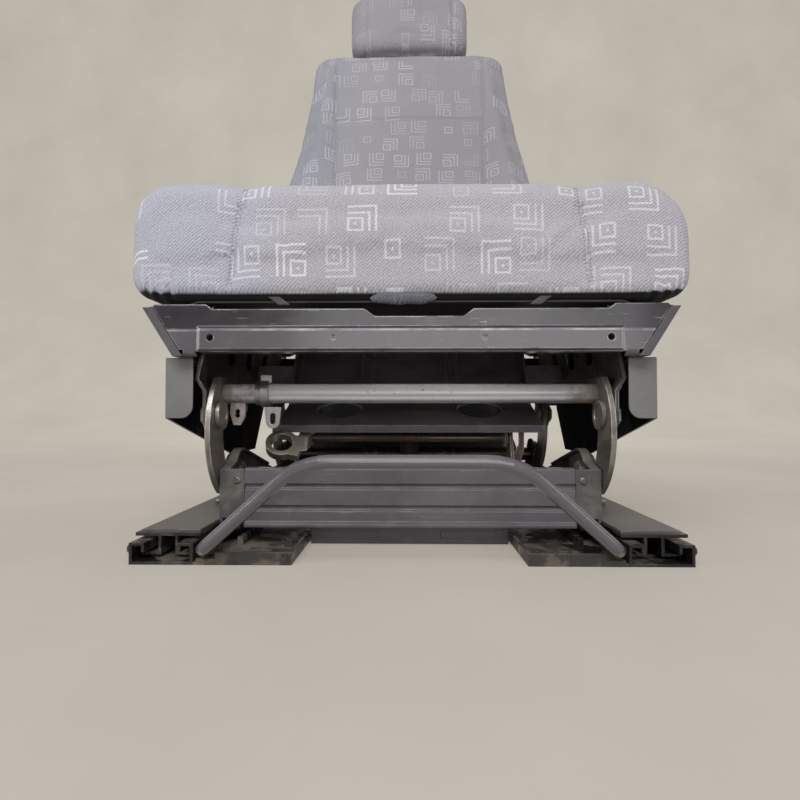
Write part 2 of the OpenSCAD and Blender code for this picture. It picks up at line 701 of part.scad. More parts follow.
// ---------------------------------------------------------------- upper frame
module upper_front_outline() {
    seam = flange_w + 0.6;
    edge = rail_top - 2;
    difference() {
        polygon(mirrored([[lower_half - 23, member_low], [lower_half - 19, rail_bottom + corner_roll],
            [lower_half - seam + 29 * corner_roll / (rail_top - rail_bottom), rail_bottom + corner_roll],
            [upper_half - seam, rail_top], [upper_half - seam - 2, rail_top + 2.5],
            [lower_half - 31, rail_top + 2.5], [lower_half - 37, edge]]));
        translate([notch_x, edge]) polygon([[-notch_half, -7], [notch_half, -7], [notch_half + 10, 0.1],
            [-notch_half - 10, 0.1]]);
    }
}
module upper_front_member() {
    y = -upper_front;
    color(PAINT) difference() {
        union() {
            plate_y(y, sheet) upper_front_outline();
            hull() {
                plate_y(y - 0.01, 0.01) translate([-198, member_low + 0.5]) square([396, 23.5]);
                plate_y(y - 3, 1) translate([-195, member_low + 2.5]) square([390, 18.5]);
            }
            box([-196, y + sheet - 0.5, member_low], [196, y + sheet + 14, member_low + sheet]);
            both_sides() intersection() {
                translate([0, y + corner_roll, rail_bottom + corner_roll]) difference() {
                    rod_x([0, 0], 2 * corner_roll, lower_half - 21, lower_half - flange_w - 0.6);
                    rod_x([0, 0], 2 * (corner_roll - sheet), lower_half - 22, lower_half);
                }
                box([lower_half - 21, y, rail_bottom], [lower_half, y + corner_roll, rail_bottom + corner_roll + 0.1]);
            }
            both_sides() box([60, y + sheet - 0.5, rail_top - 4.5], [183, y + sheet + 10, rail_top - 2]);
        }
        both_sides() {
            translate([member_hole.x, y - 5, member_hole.y]) rotate([-90, 0, 0]) cylinder(d = 6.5, h = 12);
            translate([70, y - 5, member_hole.y]) rotate([-90, 0, 0]) cylinder(d = 5, h = 3.2);
        }
    }
}
// Slanted side channel of the upper frame
module side_rail() {
    color(PAINT) plate_y(-upper_front, sheet + 0.5) polygon([[upper_half, rail_top], [lower_half + 0.3, rail_bottom],
        [lower_half + 0.3 - flange_w, rail_bottom], [upper_half - flange_w, rail_top]]);
    color(PAINT) difference() {
        plate_y(-upper_front + sheet, upper_front - sheet + recline_y) polygon([
            [upper_half, rail_top], [upper_half - 14, rail_top], [upper_half - 14, rail_top - sheet],
            [upper_half - 4.2, rail_top - sheet], [lower_half - 1.2, rail_bottom + sheet],
            [lower_half - 13, rail_bottom + sheet], [lower_half - 13, rail_bottom], [lower_half + 0.3, rail_bottom]]);
        box([lower_half - 14, -upper_front, rail_bottom - 1],
            [lower_half - flange_w, -upper_front + corner_roll + 0.5, rail_bottom + sheet + 1]);
    }
}
// Cross member that closes the upper frame under the recliners, with a deep skirt in its middle
module upper_rear_member() {
    y = pan_rear + 4;
    in = 0.3;
    half = pan_half - 12;
    wall = function (z) lower_half - 1.2 - in + (upper_half - lower_half - 3) * (z - rail_bottom - sheet)
        / (rail_top - rail_bottom - 2 * sheet);
    low = rail_bottom + sheet + 0.1;
    high = rail_top - sheet - 0.1;
    color(PAINT) difference() {
        union() {
            plate_y(y, sheet) polygon(mirrored([[wall(low), low], [wall(high), high]]));
            plate_y(y, sheet) polygon(mirrored([[half, low + 1], [half, skirt_low + 16], [half - 16, skirt_low]]));
            box([-half + 18, y - 9, skirt_low], [half - 18, y + 0.5, skirt_low + sheet]);
            both_sides() hull() {
                plate_y(y + sheet - 0.01, 0.01) translate([18, skirt_low + 16]) square([half - 40, 44]);
                plate_y(y + sheet + 2, 0.5) translate([23, skirt_low + 21]) square([half - 50, 34]);
            }
        }
        both_sides() plate_y(y - 1, sheet + 1) translate([23.5, skirt_low + 21.5]) square([half - 51, 33]);
    }
}
module side_rail_left() { left_side() side_rail(); }
module side_rail_right() { right_side() side_rail(); }

// Inner face of the hanger above its kink, as a function of height
function hanger_face(z) = hanger_in + 7.3 - 0.2 * (z - hanger_kink_z);
module hanger() {
    top = pan_z - pan_t;
    t = hanger_t;
    color(BARE_STEEL) difference() {
        intersection() {
            plate_y(P2.x - 22, arm_base + 44) polygon([
                [hanger_in, P2.y - 22], [hanger_in, 156], [hanger_face(hanger_kink_z), hanger_kink_z], [hanger_face(top), top],
                [hanger_face(top) + t, top], [hanger_face(hanger_kink_z) + t + 0.3, hanger_kink_z],
                [hanger_in + t, 155], [hanger_in + t, P2.y - 22]]);
            plate_x(hanger_in - 40, 80) {
                dot(P2, 20);
                dot(P2R, 20);
                translate([P2.x - 20, P2.y]) square([40, 40]);
                translate([P2R.x - 20, P2.y]) square([40, 40]);
                translate([P2.x - 20, 158]) square([arm_base + 40, 100]);
            }
        }
        rod_x(P2, pin_d + 2 * weld_gap, hanger_in - 1, hanger_in + t + 1);
        rod_x(P2R, pin_d + 2 * weld_gap, hanger_in - 1, hanger_in + t + 1);
        for (y = [-90, -25, 40]) plate_x(hanger_in - 20, 40) dot([y, 200], 14);
    }
}
module hanger_left() { left_side() hanger(); }
module hanger_right() { right_side() hanger(); }

module upper_pivot_bolts() {
    color(ZINC) both_sides() for (p = [P2, P2R]) {
        rod_x(p, pin_d, arm_in - 0.5, hanger_in + hanger_t);
        difference() {
            rod_x(p, 29, arm_in - 4.5, arm_in - 0.5);
            rod_x(p, 20, arm_in - 5.5, arm_in - 3.5);
        }
        rod_x(p, 22, hanger_in + hanger_t, hanger_in + hanger_t + 6, 6);
    }
}

// Shroud over the linkage, open towards the seat's middle
module valance() {
    outer = lower_half + 13;
    inner = lower_half - 13.5;
    front = -upper_front + 15;
    low = rail_bottom - 58;
    corner = 12;
    color(GREY_PAINT) {
        plate_x(outer - sheet, sheet) valance_outline(front, low);
        plate_y(front, sheet) difference() {
            translate([inner, low]) square([outer - inner, rail_bottom - low]);
            difference() {
                translate([inner, low]) square(corner);
                translate([inner + corner, low + corner]) circle(corner, $fn = 40);
            }
        }
        box([inner, front, rail_bottom - sheet], [outer, valance_rear, rail_bottom]);
        box([inner + 6, valance_rear - sheet, low + 16], [outer, valance_rear, rail_bottom]);
    }
}
module valance_outline(front, low) {
    polygon([[front, rail_bottom], [front, low], [12, low - valance_drop], [valance_rear - 45, low - valance_drop],
        [valance_rear, low + 12], [valance_rear, rail_bottom]]);
}
module valance_left() { left_side() valance(); }
module valance_right() { right_side() valance(); }

module seat_pan() {
    top = pan_z;
    color(PAINT) difference() {
        plate_y(pan_front, pan_rear - pan_front) polygon(concat(
            mirrored([[upper_half - 4, rail_top + pan_t], [pan_half + 12, rail_top + pan_t], [pan_half, top]]),
            mirrored([[-upper_half + 4, rail_top], [-pan_half - 13, rail_top], [-pan_half - 1, top - pan_t]])));
        for (x = [-120, 0, 120]) translate([x, 150, top - 6]) cylinder(r = 34, h = 10);
    }
}

// Sloped tray under the pan with two large holes, a riser and side walls
module spring_tray() {
    t = sheet;
    top = pan_z - pan_t;
    color(PAINT) difference() {
        union() {
            plate_x(-tray_half, 2 * tray_half) polygon([
                TRAY_FRONT - [0, 8], TRAY_FRONT, TRAY_BEND, TRAY_TOP, [TRAY_TOP.x, top], [TRAY_TOP.x + 30, top],
                [TRAY_TOP.x + 30, top - t], [TRAY_TOP.x + t, top - t], TRAY_TOP + [t, -1], TRAY_BEND + [1.3, -t],
                TRAY_FRONT + [t, -1.8], TRAY_FRONT + [t, -8]]);
            both_sides() plate_x(tray_half - t, t)
                polygon([[-24, 143.5], TRAY_BEND, TRAY_TOP, [TRAY_TOP.x, top], [30, top]]);
            both_sides() for (x = [47, 62]) plate_x(x, 4)
                polygon([TRAY_BEND + [-18, -7], TRAY_BEND + [-16, -3.5], TRAY_BEND + [-3, 3],
                    TRAY_TOP + [-4, 0], TRAY_TOP + [0.5, -1], TRAY_BEND + [0.5, -1]]);
            both_sides() plate_y(20, t) polygon([
                [tray_half - 1, 168], [hanger_face(176), 176], [hanger_face(196), 196], [tray_half - 1, 196]]);
        }
        both_sides() translate([tray_hole_gap / 2, -38, 100]) cylinder(d = tray_hole_d, h = 80);
    }
}
// Thin cross rod under the tray and the plate that holds its left end
module tray_rod() {
    strip_top = tray_under(ROD.x - 14) - 0.4;
    color(DARK_STEEL) {
        rod_x(ROD, 8, -112, 108);
        plate_x(108, 3) polygon([ROD + [-9, -9], ROD + [9, -9], [-44, tray_under(-44)], [-84, tray_under(-84)]]);
        rod_x(ROD, 14, 111, 114);
        difference() {
            plate_x(113.5, 3.5) {
                dot(ROD, 12);
                polygon([ROD + [-12, 0], ROD + [12, 0], ROD + [9, -22], ROD + [-4, -34], ROD + [-16, -34], ROD + [-20, -24]]);
            }
            rod_x(ROD + [-9, -25], 7, 112, 118);
        }
        plate_y(ROD.x - 14, 2) polygon([[116, ROD.y - 20], [123, ROD.y - 6], [123, strip_top - 5], [126, strip_top],
            [129, strip_top], [129, ROD.y - 12], [123, ROD.y - 32], [116, ROD.y - 32]]);
    }
}
function tray_under(y) = TRAY_FRONT.y + (y - TRAY_FRONT.x) * (TRAY_BEND.y - TRAY_FRONT.y) / (TRAY_BEND.x - TRAY_FRONT.x) - 3.4;
// Lever at the rod's other end with a large round eye, tilted towards the front
module eye_bracket() {
    color(ZINC) difference() {
        union() {
            translate(EYE) rotate([45, 12, 0]) {
                translate([0, 0, -5]) cylinder(d = eye_d + 11, h = 10);
                translate([0, -14, -5]) cube([22, 28, 10]);
            }
            plate_x(EYE.x + 16, 12) polygon([[EYE.y - 4, EYE.z - 6], ROD + [-6, -8], ROD + [8, -8],
                [-46, tray_under(-46)], [-76, tray_under(-76)], [-84, 111], [EYE.y + 6, EYE.z + 9]]);
        }
        translate(EYE) rotate([45, 12, 0]) translate([0, 0, -9]) cylinder(d = eye_d, h = 18);
    }
}
module damper_mount() {
    top = pan_z - pan_t;
    color(PAINT) {
        both_sides() plate_x(11.5, 3) {
            dot(DAMPER_TOP, 10);
            polygon([DAMPER_TOP + [-10, 0], DAMPER_TOP + [10, 0], [78, top - sheet - 8], [78, top - sheet - 4],
                [TRAY_TOP.x + 4, top - sheet - 8]]);
        }
        rod_x(DAMPER_TOP, 8, -14.5, 14.5);
    }
}

// ---------------------------------------------------------------- damper
module along_damper() {
    translate([0, DAMPER_LOW.x, DAMPER_LOW.y]) rotate([-damper_lean, 0, 0]) children();
}
module damper_tube() {
    color(PLASTIC) difference() {
        union() {
            rod_x(DAMPER_LOW, 18, -10, 10);
            along_damper() {
                translate([0, 0, 7]) cylinder(d = 12, h = 8);
                translate([0, 0, 12]) cylinder(d = 26, h = 54);
            }
        }
        rod_x(DAMPER_LOW, 8 + 2 * run_fit, -11, 11);
        along_damper() translate([0, 0, 16]) cylinder(d = damper_rod_d + 2 * run_fit, h = 60);
    }
}
module damper_rod() {
    color(BARE_STEEL) difference() {
        union() {
            along_damper() translate([0, 0, 44]) cylinder(d = damper_rod_d, h = damper_len - 44 - 8);
            rod_x(DAMPER_TOP, 20, -10, 10);
        }
        rod_x(DAMPER_TOP, 8 + 2 * damper_slack, -11, 11);
    }
}

// ---------------------------------------------------------------- upholstery
// A closed cushion: rings along Y whose outline is a superellipse, drawn in at both ends by a
// rounded edge. top(x) adds the crown and the bolsters, where x runs from -1 to 1.
function power(v, n) = (v < 0 ? -1 : 1) * pow(abs(v), n);
function end_steps(r) = [for (i = [0:4]) let (a = 90 * i / 4) [r * (1 - cos(a)), r * (1 - sin(a))]];
module cushion_solid(w, len, h, r, top, points = 40, stations = 7, sharp = 5, pull = 4) {
    ends = end_steps(r);
    middle = [for (i = [1:stations]) [r + (len - 2 * r) * i / (stations + 1), 0]];
    rear = [for (i = [4:-1:0]) [len - ends[i][0], ends[i][1]]];
    steps = concat(ends, middle, rear);
    ring = function (inset) [for (k = [0:points - 1]) let (
        a = -360 * k / points,
        x = power(cos(a), 2 / sharp),
        z = power(sin(a), 2 / sharp),
        side = pull * (1 - z * z) * abs(x) * abs(x))
        [(w / 2 - inset) * x - side * sign(x), (h / 2 - inset * 0.8) * z + (z > 0 ? top(x) * z : 0)]];
    pts = [for (s = steps, q = ring(s[1])) [q.x, s[0], q.y + h / 2]];
    n = len(steps);
    polyhedron(pts, tube_faces(n, points), convexity = 4);
}
function bump(x, at, width) = exp(-pow((abs(x) - at) / width, 2));

module seat_cushion() {
    color(CLOTH) translate([0, -198, pan_z + soft_gap])
        cushion_solid(cushion_w, cushion_len, cushion_h, 34,
            function (x) 7 * (1 - x * x) + 4 * bump(x, 0.8, 0.16) - 4 * bump(x, 0.62, 0.05));
}

// ---------------------------------------------------------------- backrest
// Children are drawn upright about the recline axis and leant back by the rest tilt
module leant() { translate([0, recline_y, recline_z]) rotate([-back_tilt, 0, 0]) children(); }

// Plate with the recliner's round housing, which closes over the end of the backrest's pin
module recliner_bracket(stub_end) {
    axis = [recline_y, recline_z];
    color(PAINT) difference() {
        union() {
            plate_x(recliner_x, 4) {
                dot(axis, 34);
                translate([axis.x - 36, rail_top]) square([36, 30]);
                polygon([[axis.x - 36, rail_top + 28], [axis.x, rail_top + 28], axis]);
            }
            box([recliner_x, axis.x - 36, rail_top], [upper_half - 1, axis.x, rail_top + 3]);
            rod_x(axis, 50, recliner_x + 4, housing_out);
            rod_x(axis, 20, housing_out - 1, housing_out + 0.4);
            rod_x(axis, 12, housing_out - 1, stub_end);
        }
        rod_x(axis, 12 + 2 * run_fit, recliner_x - 1, recliner_pin_end + 0.4);
    }
}
module recliner_bracket_left() { left_side() recliner_bracket(lever_x + 4); }
module recliner_bracket_right() { right_side() recliner_bracket(housing_out + 0.4); }

module recline_lever() {
    c = [recline_y, recline_z];
    color(PLASTIC) difference() {
        union() {
            plate_x(lever_x, 4) {
                dot(c, 16);
                polygon([c + [-14, 8], c + [6, -14], c + [-32, -68], c + [-56, -68], c + [-44, -52]]);
                polygon([c + [-32, -68], c + [-56, -56], c + [-160, -64], c + [-166, -74], c + [-150, -82], c + [-50, -72]]);
            }
            rod_x(c, 24, housing_out + 0.8, lever_x);
            hull() for (y = [-68, -152]) translate([lever_x + 4, c.x + y, c.y - 66 + (y + 68) * 0.09])
                sphere(7, $fn = 24);
        }
        rod_x(c, 12 + 2 * run_fit, housing_out, lever_x + 5);
        box([lever_x - 20, c.x - 180, c.y - 100], [lever_x, c.x - 30, c.y]);
    }
}

// The upright follows the backrest's outline; its lower end is a plate beside the recliner
module backrest_side() {
    y = frame_back_y;
    top = back_h - 40;
    foot = 128;
    color(PAINT) leant() {
        difference() {
            union() {
                plate_x(member_half - 3.5, 3.5) {
                    dot([0, 0], 30);
                    polygon([[-24, 14], [y + 0.5, 78], [y + 0.5, foot], [y + frame_depth, foot],
                        [y + frame_depth, 52], [29, 0], [0, 0]]);
                }
                plate_y(y, frame_depth) upright_band(0, 3, foot - 4, top);
                plate_y(y, sheet) upright_band(0, 26, foot - 4, top);
                plate_y(y + frame_depth - sheet, sheet) upright_band(0, 18, foot - 4, top);
                plate_y(y, frame_depth) translate([member_half - 3.5, foot - 4])
                    square([back_half(foot) - frame_inset - member_half + 3.5, 3]);
            }
            rod_x([0, 0], 12 + 2 * weld_gap, member_half - 5, member_half + 1);
        }
    }
}
// Strip of the backrest's outline between two insets, from height low to height high
module upright_band(outer, inner, low, high) {
    zs = concat([low], [for (p = BACK_WIDTHS) if (p[0] > low && p[0] < high) p[0]], [high]);
    edge = back_half_at(zs, frame_inset + outer);
    back = back_half_at(zs, frame_inset + inner);
    polygon(concat(edge, [for (i = [len(zs) - 1:-1:0]) back[i]]));
}
function back_half_at(zs, inset) = [for (z = zs) [back_half(z) - inset, z]];

module recline_pin() { rod_x([recline_y, recline_z], 12, member_half - 12, recliner_pin_end); }
module backrest_frame() {
    backrest_side();
    color(ZINC) recline_pin();
}
module backrest_frame_left() { left_side() backrest_frame(); }
module backrest_frame_right() { right_side() backrest_frame(); }

// Cross channels of the backrest and the wires that carry its cushion
module backrest_bars() {
    low_half = member_half - 4;
    color(PAINT) leant() {
        backrest_channel(bar_heights[0], low_half);
        difference() {
            backrest_channel(bar_heights[1], back_half(bar_heights[1] + 14) - frame_inset - 3.2);
            both_sides() translate([post_gap / 2, post_y, bar_heights[1] - 15])
                cylinder(d = post_d + 8 + 2 * weld_gap, h = 30);
        }
        for (z = [160:60:460]) translate([0, frame_back_y + sheet + 2.1, z]) rotate([0, 90, 0])
            translate([0, 0, -back_half(z + 2) + frame_inset + 3.2])
                cylinder(d = 4, h = 2 * (back_half(z + 2) - frame_inset - 3.2), $fn = 16);
    }
}
module backrest_channel(z, half) {
    y = frame_back_y + 3;
    d = frame_depth - 6;
    plate_x(-half, 2 * half) {
        translate([y, z - 14]) square([d, sheet]);
        translate([y, z + 14 - sheet]) square([d, sheet]);
        translate([y, z - 14]) square([sheet, 28]);
    }
}

// Moulded rear cover, open towards the cushion
module back_outline(inset = 0) {
    low = -22;
    high = back_top;
    corner = 26;
    heights = concat([low, low + corner / 2, 60, 125, 262, 352],
        [for (i = [0:5]) high - corner * (1 - sin(18 * i))]);
    polygon(mirrored([for (z = heights) let (
        up = max(0, z - high + corner),
        down = max(0, low + corner / 2 - z))
        [back_half(z) - inset - (corner - sqrt(max(0, corner * corner - up * up))) - down,
            min(max(z, low + inset), high - inset)]]));
}
module backrest_shell() {
    color(PLASTIC) leant() {
        plate_y(shell_y, 3) back_outline(4);
        difference() {
            plate_y(shell_y - 22, 22.5) difference() {
                back_outline(4);
                back_outline(7);
            }
            box([-240, -30, -60], [240, 80, 118]);
            both_sides() translate([post_gap / 2, post_y, back_top - 20])
                cylinder(d = post_d + 8 + 2 * weld_gap, h = 40);
        }
    }
}

module backrest_cushion() {
    color(CLOTH) leant() translate([0, back_front_y, 0]) backrest_pad_solid();
}
// Rings along Z that follow the backrest's outline, with a crowned front and side bolsters
module backrest_pad_solid() {
    points = 36;
    n = 18;
    low = -24;
    high = back_h - 20;
    r = 24;
    zs = concat([for (i = [0:3]) low + r * (1 - cos(30 * i))],
        [for (i = [1:n]) low + r + (high - low - 2 * r) * i / (n + 1)],
        [for (i = [3:-1:0]) high - r * (1 - cos(30 * i))]);
    inset = function (z) let (e = min(z - low, high - z)) e >= r ? 0 : r - sqrt(max(0, r * r - (r - e) * (r - e)));
    pts = [for (z = zs, k = [0:points - 1]) let (
        a = 360 * k / points,
        i = inset(z),
        x = power(cos(a), 0.4),
        y = power(sin(a), 0.4),
        front = y < 0 ? 1 : 0,
        swell = 5 * (1 - x * x) + 7 * bump(x, 0.82, 0.14) - 4 * bump(x, 0.64, 0.05))
        [(back_half(z) - i - 3 * (1 - y * y)) * x,
            (back_t / 2 - 8 - i * 0.7) * max(y, min(1, 1.14 * y)) + back_t / 2 - 4 + front * swell * y, z]];
    polyhedron(pts, tube_faces(len(zs), points), convexity = 4);
}

module headrest_guides() {
    low = bar_heights[1] - 24;
    seat = back_top - 4;
    color(PLASTIC) leant() both_sides() translate([post_gap / 2, post_y, 0]) difference() {
        union() {
            translate([0, 0, low]) cylinder(d = post_d + 8, h = seat - low);
            translate([0, 0, seat]) cylinder(d = post_d + 14, h = 5);
        }
        translate([0, 0, low - 1]) cylinder(d = post_d + 2 * run_fit, h = seat - low + 7);
    }
}
module headrest_posts() {
    color(BARE_STEEL) leant() both_sides() translate([post_gap / 2, post_y, 0]) {
        translate([0, 0, bar_heights[1] - 90]) cylinder(d = post_d, h = head_z + 50 - bar_heights[1] + 90);
    }
}
module headrest_pad() {
    depth = 92;
    color(CLOTH) leant() difference() {
        translate([0, post_y - depth / 2 - 6, head_z])
            cushion_solid(head_w, depth, 140, 26, function (x) 6 * (1 - x * x), 32, 4, 4, 6);
        both_sides() translate([post_gap / 2, post_y, head_z - 10]) cylinder(d = post_d + 2 * weld_gap, h = 60);
    }
}

lower_rail_left();
lower_rail_right();
floor_plate_left();
floor_plate_right();
latch_rack_left();
latch_rack_right();
floor_tie_plate();
rail_studs();
upper_rail_left();
upper_rail_right();
slide_shoes();
side_plate_left();
side_plate_right();
lower_front_member();
lower_rear_member();
frame_bolts();
lower_pivot_bolts();
spring_anchor();
damper_beam();
towel_bar();
latch_pawl_left();
latch_pawl_right();
front_arm_left();
front_arm_right();
torque_shaft();
shaft_collar();
stop_link();
rear_arm_left();
rear_arm_right();
rear_pivot_tube();
spring_left();
spring_right();
upper_front_member();
upper_rear_member();
side_rail_left();
side_rail_right();
hanger_left();
hanger_right();
upper_pivot_bolts();
valance_left();
valance_right();
seat_pan();
spring_tray();
tray_rod();
eye_bracket();
damper_mount();
damper_tube();
damper_rod();
seat_cushion();
recliner_bracket_left();
recliner_bracket_right();
recline_lever();
backrest_frame_left();
backrest_frame_right();
backrest_bars();
backrest_shell();
backrest_cushion();
headrest_guides();
headrest_posts();
headrest_pad();
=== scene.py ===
"""Looks of the suspension driver's seat: metres, in the CAD model's frame."""
import math

import bmesh
import bpy
import numpy as np
from mathutils import Euler, Matrix, Vector, noise
from mathutils.bvhtree import BVHTree


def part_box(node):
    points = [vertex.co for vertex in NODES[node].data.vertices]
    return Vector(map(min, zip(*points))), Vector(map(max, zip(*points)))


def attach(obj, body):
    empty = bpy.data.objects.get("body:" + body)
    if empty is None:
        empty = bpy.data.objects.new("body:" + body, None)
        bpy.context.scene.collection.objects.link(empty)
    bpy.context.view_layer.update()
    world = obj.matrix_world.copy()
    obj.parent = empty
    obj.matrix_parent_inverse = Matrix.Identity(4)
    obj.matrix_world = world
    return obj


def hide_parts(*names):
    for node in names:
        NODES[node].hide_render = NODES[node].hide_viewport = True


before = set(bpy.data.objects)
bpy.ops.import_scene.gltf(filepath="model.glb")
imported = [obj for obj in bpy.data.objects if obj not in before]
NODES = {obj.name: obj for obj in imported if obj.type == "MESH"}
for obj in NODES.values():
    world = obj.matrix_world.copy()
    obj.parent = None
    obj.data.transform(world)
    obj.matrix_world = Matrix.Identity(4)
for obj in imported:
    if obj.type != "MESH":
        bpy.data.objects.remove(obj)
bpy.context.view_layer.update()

MM = 0.001

# ---------------------------------------------------------------- camera and room
CAMERA_PLACE = Vector((0.0, -0.688, 0.135))
CAMERA_YAW = math.radians(1.00)      # turned towards the seat's right side
CAMERA_PITCH = math.radians(1.28)
IMAGE_SIZE = 800
FOCAL_PIXELS = 536
SENSOR = 36.0

LIGHTS = (                           # name, place, target, size, watts
    ("key", (-0.30, -1.75, 1.75), (0, 0, 0.20), (1.7, 0.9), 40),
    ("left", (-2.2, -0.95, 0.55), (0, -0.1, 0.10), (0.6, 0.6), 12),
    ("right", (2.2, -0.95, 0.55), (0, -0.1, 0.10), (0.6, 0.6), 9),
    ("low", (0.25, -2.2, 0.50), (0, 0, 0.15), (1.6, 0.5), 7),
    ("back", (0.3, 1.8, 2.2), (0, 0.2, 0.5), (1.6, 1.2), 16),
)
WORLD_COLOUR = (0.93, 0.95, 1.0, 1)
WORLD_STRENGTH = 0.30
WORLD_SEEN = (0.50, 0.46, 0.40, 1)   # what the camera sees past the backdrop

FLOOR_TONES = ((0.285, 0.262, 0.230), (0.330, 0.304, 0.268))
FLOOR_GLOW = ((0.47, 0.43, 0.365), (0.53, 0.485, 0.42))
GLOW_NEAR, GLOW_FAR = 0.40, 0.80     # strengths of the glow at the two places in Y of GLOW_RANGE
GLOW_RANGE = (-0.3, 2.4)


def make_camera():
    data = bpy.data.cameras.new("camera")
    data.sensor_width = SENSOR
    data.lens = SENSOR * FOCAL_PIXELS / IMAGE_SIZE
    data.clip_start = 0.02
    camera = bpy.data.objects.new("camera", data)
    camera.location = CAMERA_PLACE
    camera.rotation_euler = Euler((math.pi / 2 + CAMERA_PITCH, 0, CAMERA_YAW))
    bpy.context.scene.collection.objects.link(camera)
    bpy.context.scene.camera = camera


def make_light(name, place, target, size, watts):
    data = bpy.data.lights.new(name, "AREA")
    data.shape = "RECTANGLE"
    data.size, data.size_y = size
    data.energy = watts
    lamp = bpy.data.objects.new(name, data)
    lamp.location = place
    lamp.rotation_euler = (Vector(target) - Vector(place)).to_track_quat("-Z", "Y").to_euler()
    bpy.context.scene.collection.objects.link(lamp)


def make_world():
    """Soft light from all round. Only the camera sees it in the floor's pale colour."""
    world = bpy.data.worlds.new("room")
    world.use_nodes = True
    nodes, links = world.node_tree.nodes, world.node_tree.links
    background = nodes["Background"]
    background.inputs["Color"].default_value = WORLD_COLOUR
    background.inputs["Strength"].default_value = WORLD_STRENGTH
    pale = nodes.new("ShaderNodeBackground")
    pale.inputs["Color"].default_value = WORLD_SEEN
    rays = nodes.new("ShaderNodeLightPath")
    choose = nodes.new("ShaderNodeMixShader")
    links.new(rays.outputs["Is Camera Ray"], choose.inputs[0])
    links.new(background.outputs[0], choose.inputs[1])
    links.new(pale.outputs[0], choose.inputs[2])
    links.new(choose.outputs[0], nodes["World Output"].inputs[0])
    bpy.context.scene.world = world


def make_stage():
    """A floor that curves up into a backdrop, in one sheet."""
    half, front, back, rise, height = 6.0, -4.0, 3.4, 1.2, 5.0
    bends = 12
    profile = [(front, 0.0), (back - rise, 0.0)]
    for i in range(1, bends + 1):
        a = math.pi / 2 * i / bends
        profile.append((back - rise + rise * math.sin(a), rise * (1 - math.cos(a))))
    profile.append((back, height))
    verts = [(x, y, z) for y, z in profile for x in (-half, half)]
    faces = [(2 * i, 2 * i + 1, 2 * i + 3, 2 * i + 2) for i in range(len(profile) - 1)]
    floor = bpy.data.objects.new("studio_floor", mesh_from("studio_floor", verts, faces))
    bpy.context.scene.collection.objects.link(floor)
    floor.data.materials.append(floor_material())


def floor_material():
    """Pale screed. What the camera and mirrors see of it also glows a little, so that it stays
    pale."""
    s = Shader("studio_floor")
    clouds = s.spread(s.noise(1.6, 7, 0.62), 0.3, 0.7, 0.0, 1.0)
    s.set(roughness=0.85, base=s.mix(clouds, *FLOOR_TONES))
    s.set(normal=s.bump(s.noise(60.0, 4), 1.0 * MM, 0.15))
    rays = s.node("ShaderNodeLightPath").outputs
    seen = s.most(rays["Is Camera Ray"], rays["Is Glossy Ray"], rays["Is Transmission Ray"])
    far = s.step(s.split(s.place)[1], *GLOW_RANGE)
    strength = s.times(seen, s.blend(far, GLOW_NEAR, GLOW_FAR))
    glow = s.node("ShaderNodeEmission", {"Color": s.mix(clouds, *FLOOR_GLOW), "Strength": strength})
    added = s.node("ShaderNodeAddShader", {0: s.bsdf.outputs[0], 1: glow.outputs[0]})
    s.tree.links.new(added.outputs[0], s.output.inputs[0])
    return s.mat


